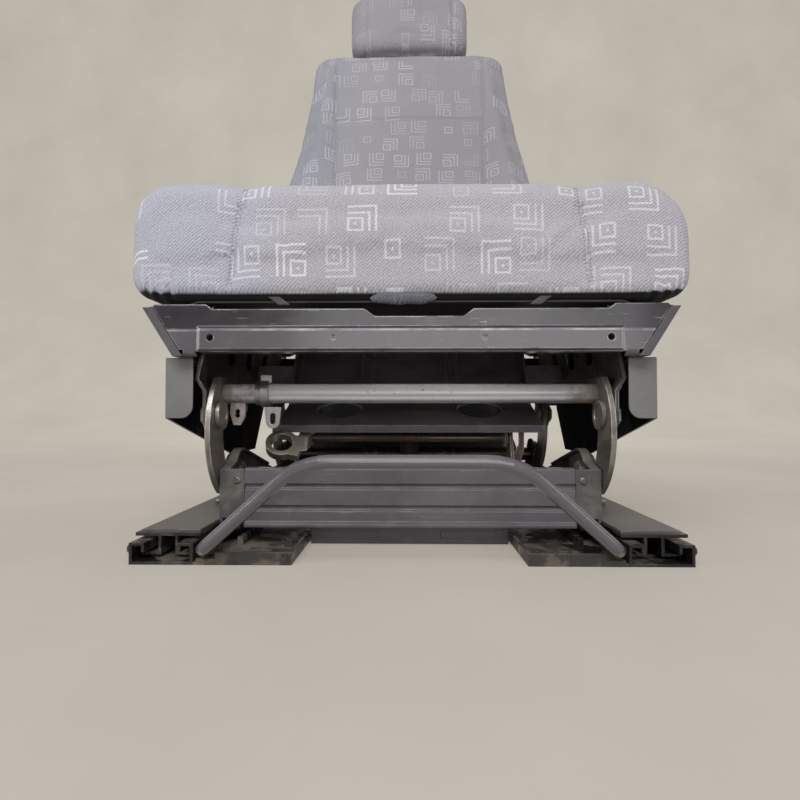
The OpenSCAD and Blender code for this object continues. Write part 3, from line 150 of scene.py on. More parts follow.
# ---------------------------------------------------------------- shader building
class Shader:
    """Adds and links the nodes of one material."""

    SOCKETS = {
        "base": "Base Color", "metallic": "Metallic", "roughness": "Roughness", "normal": "Normal",
        "sheen": "Sheen Weight", "sheen_roughness": "Sheen Roughness", "coat": "Coat Weight",
        "coat_roughness": "Coat Roughness", "specular": "Specular IOR Level",
    }

    def __init__(self, name):
        self.mat = bpy.data.materials.new(name)
        self.mat.use_nodes = True
        self.tree = self.mat.node_tree
        self.tree.nodes.clear()
        self.bsdf = self.node("ShaderNodeBsdfPrincipled")
        self.output = self.node("ShaderNodeOutputMaterial")
        self.tree.links.new(self.bsdf.outputs[0], self.output.inputs[0])
        coords = self.node("ShaderNodeTexCoord")
        self.place = coords.outputs["Object"]
        self.facing = coords.outputs["Normal"]

    def link(self, socket, value):
        if isinstance(value, bpy.types.NodeSocket):
            self.tree.links.new(value, socket)
            return
        is_colour = isinstance(value, (tuple, list)) and len(socket.default_value) == 4
        socket.default_value = (*value, 1) if is_colour else value

    def node(self, kind, inputs=(), **settings):
        made = self.tree.nodes.new(kind)
        for key, value in settings.items():
            setattr(made, key, value)
        for key, value in dict(inputs).items():
            self.link(made.inputs[key], value)
        return made

    def set(self, **values):
        for key, value in values.items():
            self.link(self.bsdf.inputs[self.SOCKETS[key]], value)

    def math(self, operation, a, b=0.0):
        return self.node("ShaderNodeMath", {0: a, 1: b}, operation=operation).outputs[0]

    def chain(self, operation, first, *others):
        for other in others:
            first = self.math(operation, first, other)
        return first

    def plus(self, *values):
        return self.chain("ADD", *values)

    def minus(self, a, b):
        return self.math("SUBTRACT", a, b)

    def times(self, *values):
        return self.chain("MULTIPLY", *values)

    def most(self, *values):
        return self.chain("MAXIMUM", *values)

    def above(self, a, b):
        return self.math("GREATER_THAN", a, b)

    def absolute(self, a):
        return self.math("ABSOLUTE", a)

    def wave(self, value, pitch):
        return self.math("SINE", self.times(value, 2 * math.pi / pitch))

    def split(self, vector):
        return self.node("ShaderNodeSeparateXYZ", {0: vector}).outputs

    def join(self, x, y, z=0.0):
        return self.node("ShaderNodeCombineXYZ", {0: x, 1: y, 2: z}).outputs[0]

    def mix(self, factor, a, b):
        made = self.node("ShaderNodeMix", data_type="RGBA")
        self.link(made.inputs[0], factor)
        self.link(made.inputs[6], a)
        self.link(made.inputs[7], b)
        return made.outputs[2]

    def blend(self, factor, a, b):
        return self.node("ShaderNodeMix", {0: factor, 2: a, 3: b}, data_type="FLOAT").outputs[0]

    def noise(self, scale, detail=4.0, roughness=0.55, at=None, distortion=0.0):
        return self.node("ShaderNodeTexNoise", {
            "Vector": self.place if at is None else at, "Scale": scale, "Detail": detail,
            "Roughness": roughness, "Distortion": distortion}).outputs["Fac"]

    def stretched(self, factors):
        return self.node("ShaderNodeVectorMath", {0: self.place, 1: factors},
                         operation="MULTIPLY").outputs[0]

    def step(self, value, low, high):
        """0 below low, 1 above high, smooth between; low may be above high."""
        return self.node("ShaderNodeMapRange", {
            "Value": value, "From Min": low, "From Max": high},
            interpolation_type="SMOOTHSTEP").outputs[0]

    def spread(self, value, low, high, to_low, to_high):
        return self.node("ShaderNodeMapRange", {
            "Value": value, "From Min": low, "From Max": high,
            "To Min": to_low, "To Max": to_high}).outputs[0]

    def rounded(self, radius):
        return self.node("ShaderNodeBevel", {"Radius": radius}, samples=4).outputs[0]

    def edges(self, radius):
        """1 on edges that are sharper than the radius, 0 on flat stretches."""
        flat = self.node("ShaderNodeNewGeometry").outputs["Normal"]
        meet = self.node("ShaderNodeVectorMath", {0: self.rounded(radius), 1: flat},
                         operation="DOT_PRODUCT")
        return self.step(meet.outputs["Value"], 0.985, 0.80)

    def bump(self, height, distance, strength=1.0, normal=None):
        inputs = {"Height": height, "Distance": distance, "Strength": strength}
        if normal is not None:
            inputs["Normal"] = normal
        return self.node("ShaderNodeBump", inputs).outputs[0]


# ---------------------------------------------------------------- hard materials
DUST = (0.24, 0.215, 0.185)
RUST = (0.15, 0.070, 0.032)
POLISHED = (0.78, 0.77, 0.74)
# colour of a painted highlight low on the drawn bar's front
HIGHLIGHT_STREAK = (0.78, 0.78, 0.86)
WORN_RAIL = (0.30, 0.28, 0.25)
OILY_STEEL = (0.030, 0.028, 0.026)
CAKED_DUST = (0.18, 0.15, 0.12)
WET_GREASE = (0.008, 0.007, 0.007)
BLOOM = (0.16, 0.15, 0.14)


def sheet_paint(name, colour, second, dust=0.35, roughness=0.38, wear_and_highlight=0.5,
                edge=(0.50, 0.48, 0.45), inner=None, upper=None, rim=1.1 * MM, edge_spared=0.40,
                coat=0.0, crease=None):
    """Satin paint on pressed steel: cloudy tone, dust on what faces up, scratches, lighter edges
    that are partly rubbed paint and partly a painted highlight.
    inner = colour of the faces turned towards the seat's middle, which are dull; a black colour
    there is painted shade.
    upper = (colour, height): above this height the paint has that colour, with darker patches in
    it;
    where darker than the paint below it is painted shade, where lighter it is painted light.
    rim = radius of the lighter edges; edge_spared = how much of them is spared.
    crease = height of a fold along which a broken bright line is painted: a painted highlight."""
    s = Shader(name)
    s.set(coat=coat, coat_roughness=0.12)
    x, _, z = s.split(s.place)
    nx, _, nz = s.split(s.facing)
    clouds = s.noise(9.0, 5)
    fine = s.noise(140.0, 3)
    tone = s.mix(s.step(clouds, 0.38, 0.66), colour, second)
    # colour above a height, with darker patches: painted shade where darker, painted light where
    # lighter
    if upper is not None:
        upper_colour, height = upper
        patch_noise = s.noise(17.0, 6, 0.66, at=s.stretched((0.5, 1, 1.6)), distortion=0.5)
        upper_patches = s.mix(s.step(patch_noise, 0.36, 0.66), upper_colour, [0.42 * c for c in upper_colour])
        tone = s.mix(s.step(z, height - 1.5 * MM, height + 1.5 * MM), tone, upper_patches)
    # inward faces take the inner colour; a black one there is painted shade
    if inner is not None:
        dull = s.step(s.times(nx, s.math("SIGN", x)), -0.3, -0.7)
        tone = s.mix(dull, tone, inner)
        s.set(specular=0.22)
    up = s.step(nz, 0.2, 0.9)
    smears = s.step(s.noise(26.0, 6, 0.65, distortion=0.6), 0.50, 0.72)
    lying = s.times(s.plus(s.times(up, 0.8), smears), dust, s.spread(fine, 0.3, 0.7, 0.75, 1.15))
    lying = s.math("MINIMUM", lying, 0.9)
    tone = s.mix(lying, tone, DUST)
    scratch = s.step(s.noise(38.0, 2, 0.5, at=s.stretched((1.0, 14.0, 14.0))), 0.70, 0.74)
    # lighter edges: partly rubbed paint, partly a painted highlight of rounded edges
    rubbed = s.times(s.edges(rim), s.step(s.noise(45.0, 4), edge_spared, edge_spared + 0.22))
    bare_and_highlight = s.times(s.most(s.times(scratch, 0.30), rubbed), wear_and_highlight)
    # a broken bright line along the crease: a painted highlight
    if crease is not None:
        near = s.step(s.absolute(s.minus(z, crease)), 1.5 * MM, 0.2 * MM)
        crease_line = s.times(near, s.spread(s.noise(20.0, 4, 0.7), 0.38, 0.60, 0.10, 0.85))
        bare_and_highlight = s.most(bare_and_highlight, s.times(crease_line, 0.8))
    s.set(base=s.mix(bare_and_highlight, tone, edge))
    gloss = s.spread(clouds, 0.3, 0.7, roughness - 0.06, roughness + 0.08)
    gloss = s.plus(gloss, s.times(lying, 0.32))
    if inner is not None:
        gloss = s.blend(dull, gloss, 1.0)
    s.set(roughness=gloss, metallic=s.times(bare_and_highlight, 0.7))
    peel = s.plus(s.times(fine, 0.5), s.times(s.noise(420.0, 2), 0.5))
    s.set(normal=s.bump(peel, 0.12 * MM, 0.35, s.rounded(1.5 * MM)))
    return s.mat


def drawn_steel(name, clean, dust, dirt, reach):
    """Smooth drawn bar: lighter on top, partly dust and partly painted light from above; a painted
    highlight low on its front; and brown dirt at both ends, from about reach outwards."""
    s = Shader(name)
    x = s.split(s.place)[0]
    nz = s.split(s.facing)[2]
    clouds = s.noise(11.0, 5, 0.6, at=s.stretched((0.4, 1, 1)))
    specks = s.noise(190.0, 3)
    tone = s.mix(s.spread(clouds, 0.35, 0.65, 0.0, 0.35), clean, dust)
    # lighter top: dust, and painted light from above
    lying = s.times(s.step(nz, -0.1, 0.75), s.spread(clouds, 0.3, 0.7, 0.62, 1.0))
    tone = s.mix(lying, tone, dust)
    # painted highlight: a bright bluish band low on the front
    highlight_streak = s.times(s.step(nz, -0.82, -0.55), s.step(nz, -0.20, -0.45))
    tone = s.mix(s.times(highlight_streak, s.spread(clouds, 0.3, 0.7, 0.6, 1.0)), tone, HIGHLIGHT_STREAK)
    ragged = s.spread(s.noise(30.0, 5, 0.65), 0.3, 0.7, -24 * MM, 24 * MM)
    ends = s.step(s.plus(s.absolute(x), ragged), reach - 14 * MM, reach + 10 * MM)
    spots = s.times(s.step(specks, 0.64, 0.72), 0.6)
    tone = s.mix(s.most(s.times(ends, 0.85), spots), tone, dirt)
    s.set(base=tone, metallic=s.blend(s.most(ends, lying), 0.35, 0.05))
    s.set(roughness=s.blend(s.most(ends, s.times(lying, 0.6)), 0.30, 0.62))
    grit = s.plus(s.times(ends, s.noise(90.0, 4)), s.times(specks, 0.15))
    s.set(normal=s.bump(grit, 0.25 * MM, 0.5, s.rounded(0.8 * MM)))
    return s.mat


def worn_steel(name, clean, stained, stain=0.5, roughness=0.34, polish=0.5, rusty=0.5):
    """Bare steel with brown stains, dust that clings to it and spots that handling has polished."""
    s = Shader(name)
    clouds = s.noise(16.0, 6, 0.62, distortion=0.4)
    fine = s.noise(210.0, 3)
    dirty = s.times(s.step(clouds, 0.66 - 0.3 * stain, 0.82 - 0.25 * stain), 0.92)
    tone = s.mix(s.spread(fine, 0.35, 0.65, 0.0, 0.28), clean, stained)
    tone = s.mix(dirty, tone, stained)
    rust = s.step(s.noise(55.0, 5, 0.7), 0.66 - 0.16 * rusty, 0.78 - 0.12 * rusty)
    tone = s.mix(s.times(rust, min(0.95, 1.2 * stain * rusty)), tone, RUST)
    bright = s.times(s.edges(1.9 * MM), s.step(s.noise(30.0, 4, 0.6), 0.44, 0.56), polish)
    s.set(base=s.mix(bright, tone, POLISHED))
    s.set(metallic=s.spread(dirty, 0.0, 1.0, 0.85, 0.2))
    gloss = s.spread(fine, 0.3, 0.7, roughness - 0.05, roughness + 0.09)
    gloss = s.plus(gloss, s.times(dirty, 0.35))
    s.set(roughness=s.minus(gloss, s.times(bright, 0.16)))
    high = s.plus(s.noise(180.0, 2), s.times(dirty, 0.6))
    s.set(normal=s.bump(high, 0.16 * MM, 0.4, s.rounded(1.2 * MM)))
    return s.mat


def greasy_rail(name, paint, dirt, amount, slime):
    """Rail steel under old black grease with brown dust caked on it.
    amount = how much of it is caked; slime = how much of it is wet."""
    s = Shader(name)
    clouds = s.noise(14.0, 7, 0.66, distortion=0.8)
    lumps = s.noise(85.0, 5, 0.6)
    up = s.step(s.split(s.facing)[2], 0.2, 0.9)
    caked = s.step(s.plus(clouds, s.times(up, 0.10)), 0.64 - 0.2 * amount, 0.76 - 0.2 * amount)
    caked = s.times(caked, s.spread(lumps, 0.3, 0.6, 0.45, 1.0))
    grease = s.step(s.noise(22.0, 5, 0.6), 0.68 - 0.24 * slime, 0.76 - 0.24 * slime)
    tone = s.mix(s.step(lumps, 0.4, 0.7), paint, OILY_STEEL)
    tone = s.mix(caked, tone, s.mix(s.noise(60.0, 4), dirt, CAKED_DUST))
    tone = s.mix(s.times(grease, 0.92), tone, WET_GREASE)
    rubbed = s.times(s.edges(1.0 * MM), s.step(s.noise(36.0, 3), 0.48, 0.62))
    s.set(base=s.mix(s.times(rubbed, 0.42), tone, WORN_RAIL))
    s.set(roughness=s.blend(grease, s.spread(caked, 0.0, 1.0, 0.45, 0.85), 0.24))
    s.set(metallic=s.times(rubbed, 0.4))
    high = s.plus(s.times(caked, 0.7), s.times(lumps, 0.5))
    s.set(normal=s.bump(high, 0.7 * MM, 0.7, s.rounded(0.9 * MM)))
    return s.mat


def moulded_plastic(name, colour, grain=900.0, roughness=0.52):
    """Grained plastic with a bloom of dust."""
    s = Shader(name)
    leather = s.node("ShaderNodeTexVoronoi", {"Vector": s.place, "Scale": grain})
    haze = s.step(s.noise(12.0, 5), 0.45, 0.75)
    s.set(base=s.mix(s.times(haze, 0.28), colour, BLOOM))
    s.set(roughness=s.spread(haze, 0.0, 1.0, roughness, roughness + 0.16))
    s.set(normal=s.bump(leather.outputs["Distance"], 0.12 * MM, 0.5, s.rounded(0.7 * MM)))
    return s.mat


# ---------------------------------------------------------------- cloth
TWILL_PITCH = 2.45 * MM
PICK_PITCH = 1.9 * MM
STITCH_PITCH = 2.3 * MM                    # the motif's stitches
CELL_W, CELL_H = 47 * MM, 38 * MM          # one motif, at the most, in each cell
PANEL_SHIFT = (0.019, 0.021)               # of the side panels' pattern, along u and v
# black of the lining on the cushion's underside, which is also painted shade
LINING_SHADE = ((0.008, 0.0075, 0.0085), (0.016, 0.015, 0.017))

# The motif, in millimetres from its middle or from its square's.
SQUARE_AT = 6.4
SQUARE_HALF = 6.6
DOT_HALF = 1.2
ANGLES_AT = (13.0, 19.2)
ANGLES_END = 7.6


def seat_cloth(name, dark, light, motif, seam=None, seed=1.0, strength=1.0, lined_in_shade=True):
    """Twill with a woven scatter of nested squares; where lined_in_shade, what faces down is
    black: a lining, and painted shade of the cushion's underside.
    seam = (x at low z, low z, x at high z, high z): there the side panels' cloth starts, cut from
    another place on the roll."""
    s = Shader(name)
    x, y, z = s.split(s.place)
    nx, _, nz = s.split(s.facing)
    aside = s.above(s.absolute(nx), 0.80)
    along = s.plus(z, y, -2 * SEAT_LOW.y)          # up the front, then back over the top
    u = s.blend(aside, x, y)
    v = s.blend(aside, along, z)
    if seam is not None:
        low_x, low_z, high_x, high_z = seam
        panel = s.above(s.absolute(x), s.spread(z, low_z, high_z, low_x, high_x))
        u = s.plus(u, s.times(panel, s.math("SIGN", x), PANEL_SHIFT[0]))
        v = s.plus(v, s.times(panel, PANEL_SHIFT[1]))
    white = woven_squares(s, u, v, seed)

    wobble = s.times(s.minus(s.noise(60.0, 3, 0.6), 0.5), 2.2 * MM)
    across = s.plus(s.minus(s.times(v, 1.07), s.times(u, 0.93)), wobble)
    ridge = s.spread(s.wave(across, TWILL_PITCH * math.sqrt(2)), -1.0, 1.0, 0.06, 0.74)
    pick = s.spread(s.wave(s.plus(u, v), PICK_PITCH), -1.0, 1.0, 0.0, 0.2)
    slub = s.spread(s.noise(560.0, 3, 0.75, at=s.join(u, v)), 0.3, 0.7, -0.62, 0.62)
    yarn = s.plus(ridge, pick, slub)

    cool = s.mix(yarn, [0.97 * c for c in (dark[0] * 0.96, dark[1], dark[2] * 1.08)],
                 (light[0] * 0.94, light[1], light[2] * 1.04))
    tone = s.mix(s.step(x, -0.09, -0.19), s.mix(yarn, dark, light), cool)
    thread = s.times(white, s.spread(yarn, 0.0, 1.0, 0.50, 1.0), strength)
    tone = s.mix(thread, tone, motif)
    soiled = s.times(s.step(s.noise(14.0, 4, 0.6), 0.60, 0.78), 0.16)
    tone = s.mix(soiled, tone, DUST)
    # value varies at random, and rises towards the left side (x below 0): painted light
    fading_and_lit_side = s.plus(s.spread(s.noise(4.0, 4), 0.3, 0.7, 0.90, 1.08),
                   s.spread(x, -0.2, 0.0, 0.06, 0.0))
    tone = s.node("ShaderNodeHueSaturation", {"Color": tone, "Value": fading_and_lit_side}).outputs[0]
    # what faces down is a black lining and painted shade
    if lined_in_shade:
        tone = s.mix(s.step(nz, -0.52, -0.70), tone, s.mix(s.noise(700.0, 2), *LINING_SHADE))
    s.set(base=tone, roughness=s.spread(yarn, 0.0, 1.0, 0.95, 0.82))
    s.set(sheen=0.12, sheen_roughness=0.5, specular=0.2)
    high = s.plus(yarn, s.times(white, 0.4), s.times(s.noise(1500.0, 2), 0.3))
    s.set(normal=s.bump(high, 0.28 * MM, 0.6))
    return s.mat


def woven_squares(s, u, v, seed):
    """Mask of the motif: a small square with a dot and two angles round two of its sides, turned at
    random. In some cells a part of it, or all of it, is left out, and the stitches show as dots."""
    gv = s.math("DIVIDE", v, CELL_H)
    row = s.math("FLOOR", gv)
    start = s.node("ShaderNodeTexWhiteNoise", {"W": s.plus(row, 31.0 * seed)},
                   noise_dimensions="1D").outputs[0]
    gu = s.plus(s.math("DIVIDE", u, CELL_W), start)
    column = s.math("FLOOR", gu)

    def chances(*cell):
        """Three random values for each cell."""
        made = s.node("ShaderNodeTexWhiteNoise", {"Vector": s.join(*cell)}, noise_dimensions="3D")
        return s.split(made.outputs["Color"])

    def local(value, cell, size, shift, reach, turn):
        """Millimetres from the motif's middle, which is shifted in its cell."""
        inside = s.minus(s.minus(value, cell), 0.5)
        moved = s.minus(inside, s.spread(shift, 0.0, 1.0, -reach, reach))
        flip = s.minus(s.times(s.above(turn, 0.5), 2.0), 1.0)
        return s.times(moved, flip, size / MM)

    def line(distance, at, half=1.0):
        return s.step(s.absolute(s.minus(distance, at)), half + 0.35, half - 0.25)

    def kept(chance, least):
        return s.above(s.math("FRACT", s.times(chance, 9.0)), least)

    r = chances(column, row, seed)
    q = chances(row, column, seed + 7.0)
    a = s.minus(local(gu, column, CELL_W, r[0], 0.17, q[0]), SQUARE_AT)
    b = s.minus(local(gv, row, CELL_H, r[1], 0.10, q[1]), SQUARE_AT)
    square = s.most(s.absolute(a), s.absolute(b))
    corner = s.most(s.times(a, -1.0), s.times(b, -1.0))
    within = s.math("LESS_THAN", s.most(a, b), ANGLES_END)
    middle = s.most(line(square, SQUARE_HALF), line(square, 0.0, DOT_HALF))
    middle = s.times(middle, kept(q[0], 0.14))
    angles = s.times(s.most(*[line(corner, at) for at in ANGLES_AT]), within, kept(q[1], 0.10))
    shown = s.above(r[2], 0.20)
    faint = s.spread(q[2], 0.0, 1.0, 0.22, 1.0)
    dots = s.times(s.wave(u, STITCH_PITCH), s.wave(v, STITCH_PITCH))
    stitched = s.spread(dots, -0.5, 0.5, 0.62, 1.0)
    return s.times(s.most(middle, angles), shown, faint, stitched)


# ---------------------------------------------------------------- mesh helpers
def add_object(name, mesh, material, body):
    piece = bpy.data.objects.new(name, mesh)
    bpy.context.scene.collection.objects.link(piece)
    mesh.materials.append(material)
    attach(piece, body)


def mesh_from(name, verts, faces):
    mesh = bpy.data.meshes.new(name)
    mesh.from_pydata([tuple(v) for v in verts], [], faces)
    mesh.shade_smooth()
    return mesh


def ring_mesh(name, rings):
    """A closed mesh through rings of equal point count, with both ends capped."""
    count = len(rings[0])
    verts = [p for ring in rings for p in ring]
    faces = []
    for start in range(0, len(verts) - count, count):
        for k in range(count):
            after = (k + 1) % count
            faces.append([start + k, start + after, start + count + after, start + count + k])
    faces.append(list(range(count))[::-1])
    faces.append([len(verts) - count + k for k in range(count)])
    mesh = mesh_from(name, verts, faces)
    bm = bmesh.new()
    bm.from_mesh(mesh)
    bmesh.ops.recalc_face_normals(bm, faces=bm.faces)
    bm.to_mesh(mesh)
    bm.free()
    return mesh


def around(count, first=0.0):
    """Angles of one turn in equal steps; first is a part of a step."""
    return [2 * math.pi * (k + first) / count for k in range(count)]


def power(value, exponent):
    """The value's size to an exponent, with its own sign."""
    return math.copysign(abs(value) ** exponent, value)


def bump_at(x, at, width):
    return math.exp(-((abs(x) - at) / width) ** 2)


def dent(distance, depth, width):
    """Depth of a soft groove at distances from its line."""
    return depth * np.exp(-(distance / width) ** 2)


def drawn_in(end, radius):
    """How far a rounded end of this radius draws an outline in, at a distance from the end."""
    if end >= radius:
        return 0.0
    return radius - math.sqrt(max(0.0, radius ** 2 - (radius - end) ** 2))


def coordinates(mesh):
    co = np.empty(len(mesh.vertices) * 3, np.float32)
    mesh.vertices.foreach_get("co", co)
    return co.reshape(-1, 3).astype(float)


def set_coordinates(mesh, co):
    mesh.vertices.foreach_set("co", np.asarray(co, np.float32).ravel())
    mesh.update()


def vertex_normals(mesh):
    return np.array([v.normal for v in mesh.vertices])


def run_modifier(piece):
    """Applies every modifier of a piece to its mesh."""
    graph = bpy.context.evaluated_depsgraph_get()
    made = bpy.data.meshes.new_from_object(piece.evaluated_get(graph))
    piece.modifiers.clear()
    old = piece.data
    piece.data = made
    bpy.data.meshes.remove(old)


CLOTH_FRAMES = 20


def stuffed(name, mesh, voxel, pressure, cap):
    """Remeshes a closed form and blows its cover up a little with Cloth. No point sinks, or moves
    further than cap."""
    piece = bpy.data.objects.new(name, mesh)
    bpy.context.scene.collection.objects.link(piece)
    remesh = piece.modifiers.new("remesh", "REMESH")
    remesh.mode = "VOXEL"
    remesh.voxel_size = voxel
    run_modifier(piece)
    start = coordinates(piece.data)
    outward = vertex_normals(piece.data)
    cloth = piece.modifiers.new("cloth", "CLOTH")
    cloth.settings.use_pressure = True
    cloth.settings.uniform_pressure_force = pressure
    cloth.settings.quality = 4
    cloth.settings.tension_stiffness = 12
    cloth.settings.compression_stiffness = 12
    cloth.settings.bending_stiffness = 0.6
    cloth.settings.effector_weights.gravity = 0
    cloth.point_cache.frame_end = CLOTH_FRAMES
    for step in range(1, CLOTH_FRAMES + 1):
        bpy.context.scene.frame_set(step)
    run_modifier(piece)
    bpy.context.scene.frame_set(1)
    moved = coordinates(piece.data) - start
    moved -= outward * np.minimum(0.0, np.sum(moved * outward, axis=1, keepdims=True))
    length = np.linalg.norm(moved, axis=1, keepdims=True)
    moved *= np.minimum(1.0, cap / np.maximum(length, 1e-9))
    set_coordinates(piece.data, start + moved)
    smooth = piece.modifiers.new("smooth", "SUBSURF")
    smooth.levels = smooth.render_levels = 1
    run_modifier(piece)
    piece.data.shade_smooth()
    return piece


def finish_cushion(piece, material, body, node):
    piece.data.materials.clear()
    piece.data.materials.append(material)
    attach(piece, body)
    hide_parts(node)


def wrinkles(points, scale, depth, seed):
    """Shallow drapes in the cover, one value for each point."""
    shift = Vector((seed, 2.3 * seed, -seed))
    return np.array([noise.fractal(Vector(p) * scale + shift, 0.8, 2.1, 3) for p in points]) * depth


# ---------------------------------------------------------------- seams
STITCH_STEP = 3.4 * MM
STITCH_LENGTH = 2.3 * MM
THREAD_RADIUS = 0.38 * MM
ROWS_APART = 2.6 * MM            # each row's distance from the seam
# A thread's bow: place along it, then height and thickness as parts of its radius.
STITCH_BOW = ((0.0, -0.7, 0.5), (0.25, 0.35, 1.0), (0.5, 0.6, 1.1), (0.75, 0.35, 1.0),
              (1.0, -0.7, 0.5))


def seam_lines(cover, paths, name, body, thread):
    """Two rows of stitches beside each seam, laid on the cover as short bent threads."""
    graph = bpy.context.evaluated_depsgraph_get()
    tree = BVHTree.FromObject(cover, graph)
    bm = bmesh.new()
    for path in paths:
        line = []
        for start, direction in path:
            hit, normal, _, _ = tree.ray_cast(start, direction)
            if hit is not None:
                line.append((hit, normal))
        away = 0.0
        for (a, na), (b, _) in zip(line, line[1:]):
            gap = (b - a).length
            if gap < 1e-6 or gap > 0.02:
                continue
            along = (b - a).normalized()
            half = along * STITCH_LENGTH / 2
            while away < gap:
                at = a + along * away
                side = along.cross(na).normalized()
                for row in (-ROWS_APART, ROWS_APART):
                    hit, normal, _, _ = tree.find_nearest(at + side * row)
                    if hit is not None:
                        stitch(bm, hit - half, hit + half, normal)
                away += STITCH_STEP
            away -= gap
    mesh = bpy.data.meshes.new(name)
    bm.to_mesh(mesh)
    bm.free()
    mesh.shade_smooth()
    add_object(name, mesh, thread, body)


def stitch(bm, a, b, normal):
    """One thread: a low bow from a to b that dips into the cloth at both ends."""
    along = (b - a).normalized()
    side = along.cross(normal).normalized()
    rings = []
    for t, lift, size in STITCH_BOW:
        middle = a.lerp(b, t) + normal * THREAD_RADIUS * lift
        ring = []
        for k in range(6):
            out = side * math.cos(k * math.pi / 3) + normal * math.sin(k * math.pi / 3)
            ring.append(bm.verts.new(middle + out * THREAD_RADIUS * size))
        rings.append(ring)
    for lower, upper in zip(rings, rings[1:]):
        for k in range(6):
            bm.faces.new((lower[k], upper[k], upper[(k + 1) % 6], lower[(k + 1) % 6]))
    bm.faces.new(rings[0])
    bm.faces.new(rings[-1][::-1])


# ---------------------------------------------------------------- seat cushion
SEAT_LOW, SEAT_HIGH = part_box("seat_cushion")
SEAT_SEAM_TOP = 0.155
SEAT_SEAM_FOOT = 0.169
SEAT_CROSS_SEAM = 0.118          # from the back edge
SEAT_FRONT_HALF = 0.2630         # half widths of the form before its cover swells
SEAT_REAR_HALF = 0.2490
SEAT_NARROW = (0.05, 0.10)       # from here to here in Y it narrows, before the recline lever
SEAT_INSET = 1 * MM              # of the form from the solid's front and foot
SEAT_RADII = (0.021, 0.046, 0.028, 0.021)
FRONT_RADII = (0.015, 0.019, 0.011)        # of the front edge: at the side, the top and the foot
REAR_RADII = (0.024, 0.026, 0.007)
END_STEPS = [0.0, 0.6, 1.6, 3.2, 5.5, 8.5, 12, 16.5, 22, 28]     # millimetres from either end


def seat_seam_x(z):
    t = np.clip((SEAT_HIGH.z - z) / (SEAT_HIGH.z - SEAT_LOW.z), 0, 1)
    return SEAT_SEAM_TOP + (SEAT_SEAM_FOOT - SEAT_SEAM_TOP) * t


def rounded_box(half_w, low, high, radii, count=140):
    """Outline of a box with its own radius at each corner: foot right, top right, top left, foot
    left."""
    corners = [(half_w, low, -90), (half_w, high, 0), (-half_w, high, 90), (-half_w, low, 180)]
    path = []
    for (x, z, start), r in zip(corners, radii):
        cx = x - math.copysign(r, x)
        cz = z + r if z == low else z - r
        for i in range(13):
            a = math.radians(start + 7.5 * i)
            path.append(Vector((cx + r * math.cos(a), cz + r * math.sin(a))))
    path.append(path[0])
    lengths = np.cumsum([0.0] + [(b - a).length for a, b in zip(path, path[1:])])
    at = np.linspace(0.0, lengths[-1], count, endpoint=False)
    xs = np.interp(at, lengths, [p.x for p in path])
    zs = np.interp(at, lengths, [p.y for p in path])
    return list(zip(xs, zs))


def seat_form():
    """Rings from the front to the back: a flat front, full corners, a crowned top, a flat foot."""
    length = SEAT_HIGH.y - SEAT_LOW.y - 3 * MM
    top = SEAT_HIGH.z - SEAT_LOW.z - 3.5 * MM
    ends = [v * MM for v in END_STEPS]
    stations = ends + [ends[-1] + (length - 2 * ends[-1]) * i / 24 for i in range(1, 24)]
    stations += [length - v for v in reversed(ends)]
    places = (SEAT_LOW.y, *SEAT_NARROW)
    halves = (SEAT_FRONT_HALF, SEAT_FRONT_HALF - 3 * MM, SEAT_REAR_HALF)
    rings = []
    for y in stations:
        half = float(np.interp(SEAT_LOW.y + y, places, halves))
        radii = FRONT_RADII if y < length / 2 else REAR_RADII
        side_in, top_in, foot_in = [drawn_in(min(y, length - y), r) for r in radii]
        back = min(1.0, y / 0.16)
        ring = []
        for px, pz in rounded_box(half - side_in, foot_in, top - top_in, SEAT_RADII):
            x = px / half
            t = pz / top
            crown = ((1.5 + 7 * back) * (1 - x * x) + 2.5 * bump_at(x, 0.80, 0.16)
                     - 1.5 * bump_at(x, 0.60, 0.06)) * MM
            pull = 4 * MM * t * t * x
            ring.append((px - pull, SEAT_LOW.y + SEAT_INSET + y,
                         SEAT_LOW.z + SEAT_INSET + pz + crown * max(0.0, t) ** 2))
        rings.append(ring)
    return ring_mesh("seat_cushion_cover", rings)


def make_seat_cushion(material, thread):
    piece = stuffed("seat_cushion_cover", seat_form(), 5 * MM, 4.0, 3 * MM)
    co = coordinates(piece.data)
    normals = vertex_normals(piece.data)
    x, y, z = co.T
    seam = np.abs(np.abs(x) - seat_seam_x(z))
    top_or_front = (normals[:, 2] > -0.3) & (np.abs(normals[:, 0]) < 0.75)
    groove = dent(seam, 1.9 * MM, 2.6 * MM) + dent(seam, 1.6 * MM, 15 * MM)
    cross_groove = dent(np.abs(y - (SEAT_HIGH.y - SEAT_CROSS_SEAM)), 3.0 * MM, 5 * MM)
    cross_groove *= np.abs(x) < seat_seam_x(z)
    depth = np.where(top_or_front, groove, 0) + np.where(normals[:, 2] > 0.4, cross_groove, 0)
    relief = wrinkles(co, 7.0, 1.1 * MM, 3.1) + wrinkles(co, 26.0, 0.35 * MM, 8.4)
    relief *= np.where(normals[:, 2] > -0.4, 1.0, 0.1)
    co = tucked(co + normals * (relief - depth)[:, None])
    co[:, 2] = np.maximum(co[:, 2], SEAT_LOW.z)
    reach = np.interp(co[:, 1], SEAT_NARROW, (SEAT_HIGH.x + 15 * MM, SEAT_HIGH.x + 2 * MM))
    co[:, 0] = np.clip(co[:, 0], -reach, reach)
    set_coordinates(piece.data, co)
    finish_cushion(piece, material, "upper_frame", "seat_cushion")
    seam_lines(piece, seat_seam_paths(), "seat_stitches", "upper_frame", thread)


